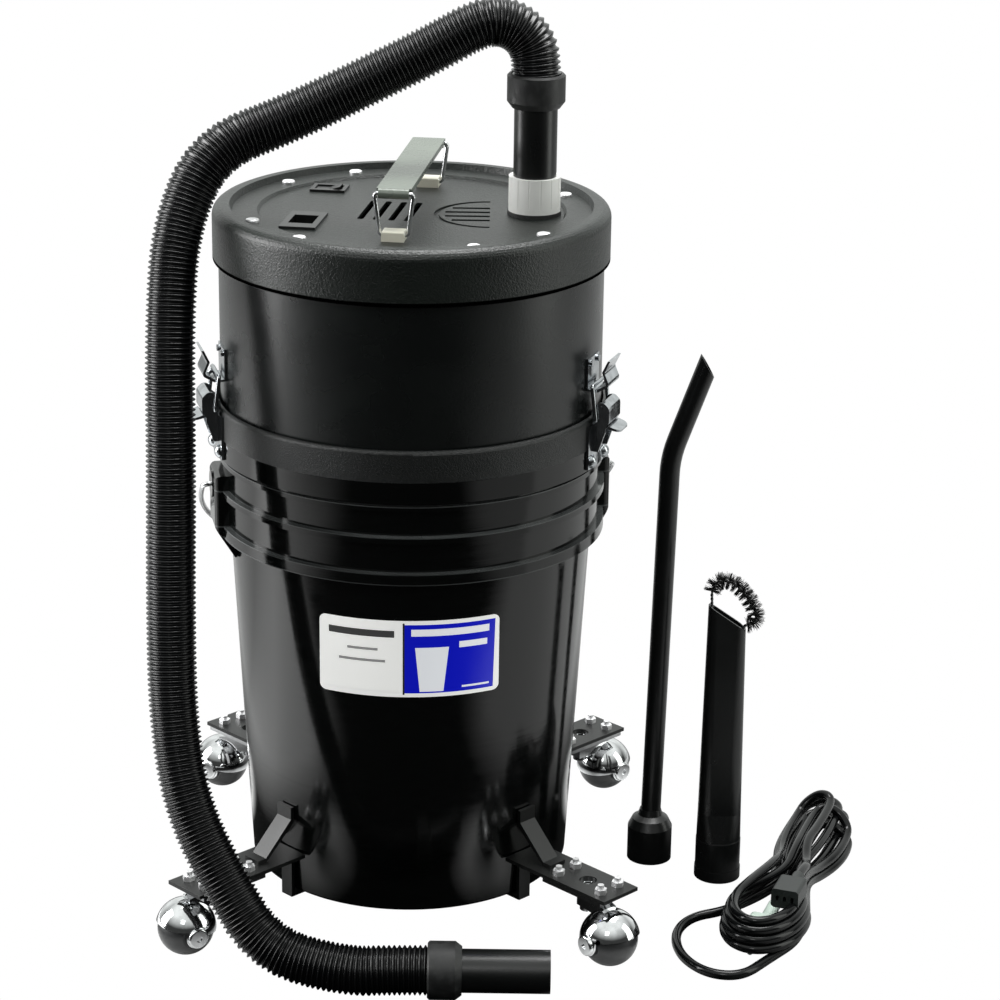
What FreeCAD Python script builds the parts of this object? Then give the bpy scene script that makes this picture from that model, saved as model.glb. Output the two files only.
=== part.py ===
"""Canister shop vacuum: motor head on a 5-gallon filter pail, four-caster dolly, hose, tools and cord.

Millimetres, +Z up. The origin is on the floor, on the pail's vertical axis. The front is -Y.
"""
import FreeCAD, Part
import math
import os

V = FreeCAD.Vector
UP = V(0, 0, 1)
OUT = V(1, 0, 0)
SIDE = V(0, 1, 0)

# ---------------------------------------------------------------- driving dimensions
# clearances
RUN = 0.06              # radial clearance of a running fit
SLIP = 0.1              # radial clearance of pieces that slide together by hand
REST = 0.3              # gap between pieces of different bodies that nearly touch
HOLE_GAP = 0.3          # radial clearance of a fastener in its hole

# ball casters
BALL_R = 22.0
TRAIL = 29.0            # horizontal offset from swivel axis to ball centre
HUB_FACE = 19.0         # flat faces of the ball, from its centre
HOOD_GAP = 0.5
HOOD_WALL = 1.2
HOOD_RIM = 2.0          # height of the hood's rim over the ball's centre
HOOD_TILT = 12.0        # the rim rises towards the trailing end, degrees
CHEEK_R = 9.0
HUB_CAP_R = 8.2
HUB_CAP_OUT = 25.4
AXLE_R = 3.0
AXLE_DEPTH = 12.0       # how far the axle reaches past the ball's centre
KINGPIN_R = 4.0
STEM_R = 6.0
CUP_R = 13.0
CUP_H = 2.6
NECK_BACK = 6.0
NECK_FRONT = 13.0
NECK_NOSE = 28.0
NECK_LOW = 38.0
NECK_W = 12.0
CASTER_ANGLES = {"front_right": -54.0, "front_left": -150.0, "rear_left": 152.0, "rear_right": 42.0}
HUB_SIDES = {"front_right": -1, "front_left": 1, "rear_left": 1, "rear_right": -1}

# dolly
ARM_ANGLES = {"front_right": -45.0, "front_left": -135.0, "rear_left": 135.0, "rear_right": 45.0}
SWIVEL_R = 203.0        # from the dolly's axis to a caster's
ARM_W = 38.0
ARM_T = 3.0
ARM_TIP_R = SWIVEL_R + 35.0
PLATE_T = 3.0
PLATE_LOW = 53.5        # underside of the caster plates
PLATE_L = 62.0
LEG_W = 12.0
BRACE_W = 16.0
BRACE_FOOT_R = SWIVEL_R - 33.0
BRACE_RISE = 28.0
PAD_H = 10.0
BOLT_R = 2.5
BOLT_HEAD_R = 4.5
BOLT_HEAD_H = 2.6
NUT_R = 4.9
NUT_H = 4.0
STUD_H = 3.2
BOLT_SPAN_X = 45.0
BOLT_SPAN_Y = 19.0
HUB_R = 55.0
HUB_T = 3.0
HUB_BOLT_R = 36.0
CARRIAGE_HEAD_R = 5.5
CARRIAGE_HEAD_H = 2.0

# pail
PAIL_BOTTOM_Z = 22.0
PAIL_H = 366.0
PAIL_FLOOR_Z = PAIL_BOTTOM_Z + 4.0
PAIL_FLOOR_T = 3.0
PAIL_WALL = 2.4
PAIL_R_BOTTOM = 128.0
PAIL_R_TOP = PAIL_R_BOTTOM + 15.0
PAIL_FOOT_W = 7.0
PAIL_CORNER = 3.0
RIM_TOP_Z = PAIL_BOTTOM_Z + PAIL_H
SHOULDER_Z = RIM_TOP_Z - 83.0       # where the wall steps out to the rim section
RIM_R = PAIL_R_TOP + 5.5
RING_R = RIM_R + 4.5
TOP_RING_R = RIM_R + 3.0
RINGS = (
    (SHOULDER_Z, SHOULDER_Z + 9.0, RING_R),
    (RIM_TOP_Z - 50.0, RIM_TOP_Z - 45.0, RING_R),
    (RIM_TOP_Z - 25.0, RIM_TOP_Z - 21.0, TOP_RING_R),
)
EAR_TURN = 12.0         # the ears' line is turned by this about the axis, degrees
EAR_Z = RIM_TOP_Z - 45.0
EAR_FACE = RIM_R + 10.5
EAR_BOSS_R = 10.7
EAR_RIB_W = 40.0
EAR_RIB_Z = (SHOULDER_Z - 17.0, EAR_Z + 12.0)
EAR_RIB_FACE = EAR_FACE - 1.0
EAR_RIB_SLOPE = 24.0    # height over which the rib runs out at its foot
EAR_ROUND = 5.0
BAIL_R = EAR_FACE + 6.0             # half the distance between the bail's sides
BAIL_WIRE_R = 2.0
BAIL_DEPTH = BAIL_R + 14.0
BAIL_PIN_IN = RIM_R + 2.5
BAIL_CORNER = 5.5
BAIL_GAP = 0.36                     # between the hanging bail and the wall it leans on
LABEL_T = 0.4
LABEL_H = 63.5
LABEL_TOP_Z = SHOULDER_Z - 32.5
LABEL_Z = (LABEL_TOP_Z - LABEL_H, LABEL_TOP_Z)
LABEL_FROM = -117.5     # degrees round the pail
LABEL_TO = -59.5
LABEL_CORNER = 5.0

# adapter band that closes the pail and carries the head
BAND_R = RIM_R + 5.5
BAND_Z = (RIM_TOP_Z - 18.0, RIM_TOP_Z + 23.0)
BAND_EDGE = 3.0
BAND_WALL = 3.2
ADAPTER_T = 3.5
GASKET_T = 2.5
GASKET_W = 7.0
FILTER_HOLE_R = 50.0

# filter cartridge
FILTER_R = 68.0
FILTER_VALLEY_R = 58.0
FILTER_BORE_R = 50.0
FILTER_LEN = 230.0
FILTER_PLEATS = 32
FILTER_CAP_T = 6.0

# head
HEAD_H = 174.5                      # from the pail's rim to the lid's crest
DRUM_R = RIM_R + 0.5
DRUM_WALL = 3.0
DRUM_FLANGE_IN = DRUM_R - 28.0
LID_R = DRUM_R + 4.5
LID_CREST_Z = RIM_TOP_Z + HEAD_H
LID_SKIRT_Z = LID_CREST_Z - 41.0
LID_ROUND = 8.0
LID_CREST_IN = LID_R - 13.5
SHELF_Z = LID_CREST_Z - 5.0
SHELF_OUT = LID_CREST_IN - 2.0
SHELF_IN = SHELF_OUT - 19.0
LID_FLOOR_Z = SHELF_Z - 2.5
LID_FLOOR_R = SHELF_IN - 2.0
LID_T = 3.0
LID_TURN = -8.0         # the lid's layout is turned by this about the axis, degrees
HANDLE_TURN = -6.8      # and the handle's line by this
SCREW_RING_R = (SHELF_IN + SHELF_OUT) / 2
SCREW_PAIR = 14.5
SCREW_R = 2.0
SCREW_HEAD_R = 5.2
SCREW_HEAD_H = 2.4
SCREW_LEN = 11.0
LOCK_NUT_R = 4.2
LOCK_NUT_H = 3.2

# vents in the lid
SLOT_L = 56.0
SLOT_W = 5.0
SLOT_PITCH = 12.0
SLOT_COUNT = 4
SLOT_FIRST_X = -35.0
VENT_R = 43.0
VENT_FLAT_X = 60.0
VENT_Y = -5.0
LOUVRE_W = 5.0
LOUVRE_PITCH = 13.0
LOUVRE_COUNT = 4
LOUVRE_SHORT = 8.0
VENT_GROOVE_W = 4.0
VENT_GROOVE_D = 1.5

# inlet
INLET_X = 94.0
INLET_Y = 0.0
TUBE_R = 16.6
TUBE_WALL = 2.0
TUBE_SHOULDER_R = TUBE_R + 0.9      # the tube's thicker end, held in a cuff
COLLAR_R = 20.0
COLLAR_H = 27.0
COLLAR_GASKET_T = 3.0
COLLAR_GASKET_R = 20.8
COLLAR_RIBS = 14
COLLAR_GROOVE = 0.8
SPIGOT_LEN = 15.0
PIPE_WALL = 1.6
PIPE_BELOW = 6.0

# power inlet and switch
POWER_AT = (-81.0, -36.0)
POWER_W = 28.0
POWER_L = 50.0
POWER_FLANGE_T = 2.0
POWER_BODY_W = 23.0
POWER_BODY_L = 30.0
POWER_BODY_D = 24.0
POWER_WELL = 16.0
POWER_PIN_L = 10.0
SWITCH_AT = (-67.5, 71.5)
SWITCH_W = 28.0
SWITCH_L = 22.0
SWITCH_FLANGE_T = 2.0
SWITCH_BODY_W = 25.0
SWITCH_BODY_L = 18.5
SWITCH_BODY_D = 20.0
ROCKER_W = 20.5
ROCKER_L = 13.5
ROCKER_PIVOT_DROP = 3.0
ROCKER_PIN_R = 1.5
ROCKER_TILT = 9.0

# carrying handle
CLIP_SPAN = 178.8       # between the two hinge wires
CLIP_W = 17.0
CLIP_L = 14.0
CLIP_H = 7.6
HANDLE_WIRE_R = 1.7
HANDLE_HINGE_UP = 4.2   # hinge wire above the lid's floor
LOOP_FOOT_HALF = 10.6
LOOP_TOP_HALF = 14.7
LOOP_BEND_R = 2.4
GRIP_Z = LID_FLOOR_Z + 35.0         # hinge line at the grip's ends
GRIP_W = 26.0
GRIP_T = 1.6
GRIP_SIDE = 4.0
CURL_R = 3.9
CURL_HALF = 11.5

# draw latches
LATCHES = {"left": 195.0, "right": -20.0}
BASE_W = 42.0
BASE_T = 2.0
BASE_Z = (BAND_Z[0] + 1.5, BAND_Z[1] - 5.0)
RIVET_Y = 14.5
RIVET_Z = BASE_Z[0] + 5.5
RIVET_HEAD_R = 5.6
RIVET_HEAD_H = 4.0
RIVET_R = 2.0
EAR_IN = 10.0
EAR_T = 1.5
EAR_LOW_Z = BASE_Z[0] + 12.5
PIVOT = (BAND_R + 7.0, BAND_Z[1] + 9.0)
ATTACH = (BAND_R + 4.0, BAND_Z[1] - 1.0)
PIVOT_PIN_R = 1.6
PIVOT_EYE_R = 3.3       # rounded top of the ears round the pin
LEVER_GAP = 0.7
LEVER_T = 1.5
LOOP_WIRE_R = 1.6
LOOP_ARM_Y = 16.0
LATCH_BEND_R = 1.9
TAB_Z = BAND_Z[1] - 7.0
TAB_OUT = 15.0          # reach of the finger tab beyond the pivot
TAB_ROUND = 6.0
LEVER_ROUND = 5.0
HOOK_ROD = (BAND_R + 0.6, BAND_Z[1] + 26.2)
KEEPER_HALF = 13.0
KEEPER_T = 2.0
KEEPER_BASE_T = 1.6
KEEPER_Z = (BAND_Z[1] + 21.0, BAND_Z[1] + 46.5)
KEEPER_BULGE_R = BAND_R + 12.5      # outside of the wall where it bulges
KEEPER_NECK_R = BAND_R + 9.0        # and where it is drawn in under the lip
KEEPER_LIP_R = BAND_R + 13.5
KEEPER_ROUND = 3.0

# motor
PLATE_Z = BAND_Z[1] + 7.0
MOTOR_PLATE_T = 3.0
FAN_CASE_R = 70.0
FAN_CASE_H = 49.0
FAN_CASE_WALL = 2.0
FAN_EYE_R = 25.0
FRAME_R = 44.0
FRAME_H = 62.0
FRAME_WALL = 3.0
STACK_IN = 26.0
STACK_H = 36.0
STACK_Z = (PLATE_Z + 64.0, PLATE_Z + 64.0 + STACK_H)
SHAFT_R = 4.0
BEARING_T = 5.0
ARMATURE_R = 24.6
COMMUTATOR_R = 12.0
IMPELLER_R = 60.0
IMPELLER_H = 16.0
IMPELLER_Z = PLATE_Z + 12.0
IMPELLER_T = 1.6
IMPELLER_VANES = 7
COOLING_R = 34.0
COOLING_H = 7.0
WINDOW_W = 26.0
WINDOW_LOW = 24.0                   # from the frame's top to the windows' sills

# hose
HOSE_R = 19.0
HOSE_BORE_R = 15.5
CUFF_R = 22.3
CUFF_TUBE_LAP = 12.0
CUFF_HOSE_LAP = 14.0
CUFF_SLIP = 0.15
CUFF_SHOULDER = 5.0
CUFF_LOW_Z = LID_FLOOR_Z + 83.0
TUBE_LOW_Z = LID_FLOOR_Z + 8.0
NOZZLE_END_X = 114.0
CUFF_END_X = 47.0
HOSE_END_Y = -225.5
HOSE_FLOOR_Z = 22.5
HOSE_ROUTE = (
    (94.0, 0.0, 650.0),
    (94.0, 0.0, 668.0),
    (91.0, 2.0, 687.5),
    (75.0, 1.0, 702.0),
    (53.0, -2.0, 703.5),
    (16.0, -5.5, 682.5),
    (-34.0, -10.5, 658.0),
    (-90.5, -20.5, 631.5),
    (-151.0, -39.5, 610.5),
    (-175.0, -64.5, 557.0),
    (-178.5, -89.5, 484.0),
    (-177.5, -108.0, 380.0),
    (-178.5, -124.5, 272.0),
    (-176.5, -143.0, 191.0),
    (-165.0, -166.5, 129.5),
    (-135.5, -190.5, 77.0),
    (-102.0, -211.0, 30.0),
    (-41.5, -223.5, 19.3),
    (-2.0, -225.5, 22.5),
    (35.0, -225.5, 22.5),
)

# wand
WAND_AT = (199.6, 24.0)
SOCKET_BORE_R = 16.75
SOCKET_DEPTH = 26.0
WAND_BELL_R = 18.4
WAND_BELL_H = 29.0
WAND_NECK_Z = 41.0
WAND_R = 8.2
WAND_BORE_R = 6.6
WAND_ELBOW = (206.6, 352.0)
WAND_TIP = (233.5, 428.0)
WAND_BEND_R = 90.0
WAND_SLANT = 60.0

# crevice tool and its brush
CREVICE_AT = (254.3, -8.5)
CREVICE_R = 18.9
CREVICE_RIM_H = 9.0
CREVICE_RIM_T = 0.5
CREVICE_SOCKET_H = 34.0
CREVICE_STEP_Z = 57.0
CREVICE_TOP_Z = 238.0
CREVICE_MOUTH_DROP = 21.0
CREVICE_MOUTH_W = 30.4
CREVICE_MOUTH_T = 13.0
CREVICE_BODY_T = 20.0
CREVICE_WALL = 1.7
BRUSH_WIRE_R = 1.1
BRUSH_R = 6.0
BRUSH_ROUTE = (
    (-12.2, 226.0),
    (-12.6, 243.0),
    (-13.2, 250.0),
    (-8.0, 260.0),
    (4.0, 257.0),
    (14.0, 243.0),
    (19.5, 229.0),
    (12.7, 221.0),
    (11.6, 208.0),
)

# power cord, lying in a tied hank
CORD_R = 3.8
HANK_H = 30.0
HANK_LOW = (281.0, -116.0)
HANK_HIGH = (338.0, 42.0)
HANK_WAIST = (312.0, -43.0)
HANK_LOW_R = (36.0, 54.0)
HANK_HIGH_R = (27.0, 62.0)
WAIST_R = (17.0, 36.0)
LOOP_ROUTE = (
    (254.5, -92.0, 8.0),
    (228.0, -96.0, 4.5),
    (213.0, -124.0, 4.0),
    (216.0, -162.0, 4.0),
    (235.0, -190.0, 4.0),
    (262.0, -194.0, 4.5),
    (284.0, -165.5, 8.0),
)
HANK_EYE = (282.5, -121.0)
HANK_EYE_R = (20.0, 40.0)
PLUG_AT = (280.5, -126.0)
PLUG_TURN = -109.0
PLUG_Z = 0.3
PLUG_L = 28.0
PLUG_W = 23.0
PLUG_H = 17.0
PLUG_ROUND = 4.0
PIN_L = 16.0
PLUG_SLEEVE_L = 33.0
CONNECTOR_AT = (303.0, -117.0)
CONNECTOR_TURN = -109.8
CONNECTOR_L = 27.0
CONNECTOR_W = 22.0
CONNECTOR_H = 16.0
CONNECTOR_ROUND = 3.0
SOCKET_SLOT = 14.0       # depth of the connector's three slots
SLEEVE_L = 16.0
SLEEVE_R = 5.2


# ---------------------------------------------------------------- helpers
def disc(radius, low, high, at=(0.0, 0.0)):
    """Upright cylinder from z = low to z = high."""
    return Part.makeCylinder(radius, high - low, V(at[0], at[1], low))


def ring(outer, inner, low, high, at=(0.0, 0.0)):
    """Upright tube section."""
    return disc(outer, low, high, at).cut(disc(inner, low - 1.0, high + 1.0, at))


def block(x_range, y_range, z_range):
    """Box from three pairs of limits."""
    size = [pair[1] - pair[0] for pair in (x_range, y_range, z_range)]
    return Part.makeBox(size[0], size[1], size[2], V(x_range[0], y_range[0], z_range[0]))


def rod(start, end, radius):
    """Cylinder between two points."""
    return Part.makeCylinder(radius, (end - start).Length, start, end - start)


def fused(shapes):
    """Union of a list of shapes, with shared faces merged."""
    whole = shapes[0]
    for shape in shapes[1:]:
        whole = whole.fuse(shape)
    return whole.removeSplitter()


def revolved(points):
    """Solid of revolution about Z from a closed (radius, z) outline."""
    corners = [V(r, 0, z) for r, z in points]
    face = Part.Face(Part.makePolygon(corners + corners[:1]))
    return face.revolve(V(0, 0, 0), UP, 360)


def profile(points, low, high, plane="xz"):
    """Closed outline in a plane, extruded across it from low to high."""
    if plane == "xz":
        corners = [V(x, low, z) for x, z in points]
        along = V(0, high - low, 0)
    else:
        corners = [V(x, y, low) for x, y in points]
        along = V(0, 0, high - low)
    return Part.Face(Part.makePolygon(corners + corners[:1])).extrude(along)


def rounded(shape, radius, wanted):
    """Shape with a fillet on each edge whose bounding box is wanted."""
    return shape.makeFillet(radius, [edge for edge in shape.Edges if wanted(edge.BoundBox)])


def turned(shape, degrees, centre=(0.0, 0.0)):
    """Copy turned about the vertical through a point."""
    copy = shape.copy()
    copy.rotate(V(centre[0], centre[1], 0), UP, degrees)
    return copy


def moved(shape, x, y, z=0.0):
    copy = shape.copy()
    copy.translate(V(x, y, z))
    return copy


def polar(radius, degrees):
    angle = math.radians(degrees)
    return radius * math.cos(angle), radius * math.sin(angle)


def export(name, shapes):
    """One STEP file for one node."""
    shape = shapes[0] if len(shapes) == 1 else Part.makeCompound(shapes)
    shape.exportStep("parts/" + name + ".step")


def bent_path(points, radius=None):
    """Straight runs joined by tangent arcs; without a radius each arc is as large as its runs allow."""
    edges = []
    radii = []
    start = points[0]
    for before, corner, after in zip(points, points[1:], points[2:]):
        back = before - corner
        ahead = after - corner
        half_turn = (math.pi - back.getAngle(ahead)) / 2.0
        reach = 0.45 * min(back.Length, ahead.Length)
        if radius is not None:
            reach = min(reach, radius * math.tan(half_turn))
        bend = reach / math.tan(half_turn)
        radii.append(bend)
        back.normalize()
        ahead.normalize()
        enter = corner + back * reach
        leave = corner + ahead * reach
        inward = back + ahead
        inward.normalize()
        middle = corner + inward * (bend / math.cos(half_turn) - bend)
        edges.append(Part.LineSegment(start, enter).toShape())
        edges.append(Part.Arc(enter, middle, leave).toShape())
        start = leave
    edges.append(Part.LineSegment(start, points[-1]).toShape())
    return Part.Wire(edges), radii


def swept(path, start, direction, radius):
    circle = Part.Wire([Part.Circle(start, direction, radius).toShape()])
    return path.makePipeShell([circle], True, False)


def wire_form(points, wire_radius, bend=None):
    """Round bar bent along a list of points."""
    path, radii = bent_path(points, bend)
    return swept(path, points[0], points[1] - points[0], wire_radius), path, radii


def hexagon(radius, low, high, at):
    corners = [polar(radius, 60.0 * k) for k in range(6)]
    return moved(profile(corners, low, high, "xy"), at[0], at[1])


def pail_outer(z):
    """Radius of the pail's tapered wall at a height."""
    share = (z - PAIL_BOTTOM_Z) / (SHOULDER_Z - PAIL_BOTTOM_Z)
    return PAIL_R_BOTTOM + share * (PAIL_R_TOP - PAIL_R_BOTTOM)


def lid_local(x, y, turn=LID_TURN):
    """Point given in the lid's turned layout, in the part's frame."""
    angle = math.radians(turn)
    return x * math.cos(angle) - y * math.sin(angle), x * math.sin(angle) + y * math.cos(angle)


# ---------------------------------------------------------------- dolly
ARM_LOW = PLATE_LOW + PLATE_T
ARM_TOP = ARM_LOW + ARM_T
LEG_IN = pail_outer(ARM_TOP) + 0.9
STRAP_TOP = PAIL_BOTTOM_Z - REST
STRAP_LOW = STRAP_TOP - ARM_T
BOLT_PLACES = [
    (SWIVEL_R + sx * BOLT_SPAN_X / 2.0, sy * BOLT_SPAN_Y / 2.0) for sx in (-1, 1) for sy in (-1, 1)
]


def dolly_arm():
    """One arm along +X: strap under the pail, leg up its wall, plate out to the caster, brace."""
    strap = block((HUB_BOLT_R - 14.0, LEG_IN + ARM_T), (-LEG_W / 2, LEG_W / 2), (STRAP_LOW, STRAP_TOP))
    leg = block((LEG_IN, LEG_IN + ARM_T), (-LEG_W / 2, LEG_W / 2), (STRAP_LOW, ARM_TOP))
    plate = block((LEG_IN, ARM_TIP_R), (-ARM_W / 2, ARM_W / 2), (ARM_LOW, ARM_TOP))
    brace_top = ARM_TOP + BRACE_RISE
    pad_in = pail_outer(brace_top + PAD_H) + 0.9
    brace = profile(
        [
            (BRACE_FOOT_R, ARM_TOP - 1.0),
            (BRACE_FOOT_R, ARM_TOP + ARM_T),
            (BRACE_FOOT_R - 8.0, ARM_TOP + ARM_T),
            (pad_in + ARM_T, brace_top),
            (pad_in + ARM_T, brace_top + PAD_H),
            (pad_in, brace_top + PAD_H),
            (pad_in, brace_top - ARM_T),
            (BRACE_FOOT_R - 9.0, ARM_TOP),
            (BRACE_FOOT_R - 9.0, ARM_TOP - 1.0),
        ],
        -BRACE_W / 2,
        BRACE_W / 2,
    )
    arm = fused([strap, leg, plate, brace])
    for x, y in BOLT_PLACES:
        arm = arm.cut(disc(BOLT_R + HOLE_GAP, ARM_LOW - 1, ARM_TOP + 1, (x, y)))
    arm = arm.cut(disc(KINGPIN_R + 3.0, ARM_LOW - 1, ARM_TOP + 1, (SWIVEL_R, 0.0)))
    arm = arm.cut(disc(BOLT_R + HOLE_GAP, STRAP_LOW - 1, STRAP_TOP + 1, (HUB_BOLT_R, 0.0)))
    return arm


def dolly_hub():
    hub = disc(HUB_R, STRAP_LOW - HUB_T, STRAP_LOW)
    for angle in ARM_ANGLES.values():
        hub = hub.cut(disc(BOLT_R + HOLE_GAP, 0.0, STRAP_LOW + 1, polar(HUB_BOLT_R, angle)))
    return hub


def caster_plate():
    """Top plate of one caster, arm along +X."""
    half = PLATE_L / 2.0
    plate = block((SWIVEL_R - half, SWIVEL_R + half), (-ARM_W / 2, ARM_W / 2), (PLATE_LOW, ARM_LOW))
    for x, y in BOLT_PLACES:
        plate = plate.cut(disc(BOLT_R + HOLE_GAP, PLATE_LOW - 1, ARM_LOW + 1, (x, y)))
    return plate.cut(disc(KINGPIN_R + RUN, PLATE_LOW - 1, ARM_LOW + 1, (SWIVEL_R, 0.0)))


def plate_bolt(at):
    """Bolt from under the caster plate up through the arm, its end standing above the nut."""
    head = disc(BOLT_HEAD_R, PLATE_LOW - BOLT_HEAD_H, PLATE_LOW, at)
    shank = disc(BOLT_R, PLATE_LOW, ARM_TOP + NUT_H + STUD_H, at)
    return fused([head, shank])


def plate_nut(at):
    nut = hexagon(NUT_R, ARM_TOP, ARM_TOP + NUT_H, at)
    return nut.cut(disc(BOLT_R, ARM_TOP - 1, ARM_TOP + NUT_H + 1, at))


def hub_bolt(at):
    """Carriage bolt that holds a strap on the hub plate."""
    head = disc(CARRIAGE_HEAD_R, STRAP_TOP, STRAP_TOP + CARRIAGE_HEAD_H, at)
    shank = disc(BOLT_R, STRAP_LOW - HUB_T - NUT_H - 1.0, STRAP_TOP, at)
    return fused([head, shank])


def hub_nut(at):
    top = STRAP_LOW - HUB_T
    nut = hexagon(NUT_R, top - NUT_H, top, at)
    return nut.cut(disc(BOLT_R, top - NUT_H - 1, top + 1, at))


def make_dolly():
    arms = []
    plates = []
    bolts = []
    nuts = []
    for angle in ARM_ANGLES.values():
        arms.append(turned(dolly_arm(), angle))
        plates.append(turned(caster_plate(), angle))
        for place in BOLT_PLACES:
            bolts.append(turned(plate_bolt(place), angle))
            nuts.append(turned(plate_nut(place), angle))
        bolts.append(turned(hub_bolt((HUB_BOLT_R, 0.0)), angle))
        nuts.append(turned(hub_nut((HUB_BOLT_R, 0.0)), angle))
    export("dolly_arms", arms)
    export("dolly_hub", [dolly_hub()])
    export("caster_plates", plates)
    export("dolly_bolts", bolts)
    export("dolly_nuts", nuts)


# ---------------------------------------------------------------- casters
def half_space(centre, pole, offset, keep_towards_pole):
    """Large block on one side of the plane that lies offset along the pole from the centre."""
    size = 4.0 * BALL_R
    slab = Part.makeBox(size, size, size, V(-size / 2, -size / 2, 0.0))
    if not keep_towards_pole:
        slab.translate(V(0, 0, -size))
    seat = FreeCAD.Placement(centre + pole * offset, FreeCAD.Rotation(UP, pole))
    slab.Placement = seat.multiply(slab.Placement)
    return slab


def caster_parts(side):
    """Hood and wheel of one ball caster; swivel axis at the origin, trails along +X, hub cap on side * Y."""
    centre = V(TRAIL, 0, BALL_R)
    pole = V(0, side, 0)
    wheel = Part.makeSphere(BALL_R, centre)
    wheel = wheel.cut(half_space(centre, pole, HUB_FACE, True))
    wheel = wheel.cut(half_space(centre, pole, -HUB_FACE, False))
    wheel = wheel.cut(rod(centre - pole * (AXLE_DEPTH + 0.5), centre + pole * BALL_R, AXLE_R + RUN))
    inner = BALL_R + HOOD_GAP
    shell = Part.makeSphere(inner + HOOD_WALL, centre).cut(Part.makeSphere(inner, centre))
    tilt = math.radians(HOOD_TILT)
    rim_up = V(-math.sin(tilt), 0, math.cos(tilt))
    hood = shell.common(half_space(centre, rim_up, HOOD_RIM, True))
    near = half_space(centre, pole, 0.0, True)
    strap = block((TRAIL - CHEEK_R, TRAIL + CHEEK_R), (-2 * BALL_R, 2 * BALL_R), (BALL_R, 2 * BALL_R))
    round_end = rod(centre, centre + pole * 2 * BALL_R, CHEEK_R)
    cheek = shell.common(near).common(fused([strap, round_end]))
    cap = rod(centre + pole * (HUB_FACE + 0.4), centre + pole * HUB_CAP_OUT, HUB_CAP_R)
    outer_face = [edge for edge in cap.Edges if abs(side * edge.BoundBox.YMin - HUB_CAP_OUT) < 0.01]
    cap = cap.makeFillet(1.6, [edge for edge in outer_face if edge.Length > HUB_CAP_R])
    cap = cap.cut(rod(centre + pole * (HUB_CAP_OUT - 1.2), centre + pole * (HUB_CAP_OUT + 1), 2.6))
    axle = rod(centre - pole * AXLE_DEPTH, centre + pole * (HUB_FACE + 1.0), AXLE_R)
    top = PLATE_LOW - REST - CUP_H
    neck = profile(
        [
            (-NECK_BACK, NECK_LOW),
            (NECK_FRONT + 6.0, NECK_LOW),
            (NECK_NOSE, BALL_R + inner),
            (NECK_NOSE, BALL_R + inner + 2.6),
            (NECK_FRONT, top),
            (-NECK_BACK, top),
        ],
        -NECK_W / 2,
        NECK_W / 2,
    )
    neck = neck.cut(Part.makeSphere(inner + HOOD_WALL / 2, centre))
    stem = disc(STEM_R, NECK_LOW - 3.0, top)
    cup = disc(CUP_R, top, PLATE_LOW - REST)
    kingpin = disc(KINGPIN_R, PLATE_LOW - REST - 1.0, ARM_LOW - REST)
    return fused([hood, cheek, cap, axle, neck, stem, cup, kingpin]), wheel


def make_casters():
    for corner, angle in ARM_ANGLES.items():
        x, y = polar(SWIVEL_R, angle)
        hood, wheel = caster_parts(HUB_SIDES[corner])
        export("caster_hood_" + corner, [moved(turned(hood, CASTER_ANGLES[corner]), x, y)])
        export("caster_wheel_" + corner, [moved(turned(wheel, CASTER_ANGLES[corner]), x, y)])


# ---------------------------------------------------------------- pail
def pail_ear(side):
    """Rounded rib with a round boss for the bail's pin, on the pail's +X or -X side."""
    low, high = EAR_RIB_Z
    inner = RIM_R - 2.0
    outline = [
        (side * inner, low + EAR_RIB_SLOPE),
        (side * (pail_outer(low) - 1.0), low),
        (side * (pail_outer(low) + 1.0), low),
        (side * EAR_RIB_FACE, low + EAR_RIB_SLOPE),
        (side * EAR_RIB_FACE, high),
        (side * inner, high),
    ]
    rib = profile(outline, -EAR_RIB_W / 2, EAR_RIB_W / 2)
    rib = rounded(rib, EAR_ROUND, lambda box: abs(box.Center.x) > EAR_RIB_FACE - 0.1)
    boss = rod(V(side * inner, 0, EAR_Z), V(side * EAR_FACE, 0, EAR_Z), EAR_BOSS_R)
    return fused([rib, boss])


def pail():
    rim_in = RIM_R - PAIL_WALL
    inner_floor = PAIL_FLOOR_Z + PAIL_FLOOR_T
    outline = [(0.0, PAIL_FLOOR_Z), (PAIL_R_BOTTOM - PAIL_FOOT_W, PAIL_FLOOR_Z)]
    outline += [(PAIL_R_BOTTOM - PAIL_FOOT_W, PAIL_BOTTOM_Z), (PAIL_R_BOTTOM - PAIL_CORNER, PAIL_BOTTOM_Z)]
    outline += [(PAIL_R_BOTTOM, PAIL_BOTTOM_Z + PAIL_CORNER), (PAIL_R_TOP, SHOULDER_Z)]
    for low, high, radius in RINGS:
        if low > SHOULDER_Z:
            outline.append((RIM_R, low))
        outline += [(radius, low), (radius, high), (RIM_R, high)]
    outline += [(RIM_R, RIM_TOP_Z), (rim_in, RIM_TOP_Z), (rim_in, SHOULDER_Z + PAIL_WALL)]
    outline += [(PAIL_R_TOP - PAIL_WALL, SHOULDER_Z), (pail_outer(inner_floor) - PAIL_WALL, inner_floor)]
    outline += [(0.0, inner_floor)]
    body = revolved(outline)
    ears = []
    for side in (1, -1):
        ears.append(turned(pail_ear(side), EAR_TURN))
    body = fused([body] + ears)
    for side in (1, -1):
        start = V(side * (BAIL_PIN_IN - 1.0), 0, EAR_Z)
        pin_hole = rod(start, V(side * (EAR_FACE + 5.0), 0, EAR_Z), BAIL_WIRE_R + RUN)
        body = body.cut(turned(pin_hole, EAR_TURN))
    return body


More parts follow.
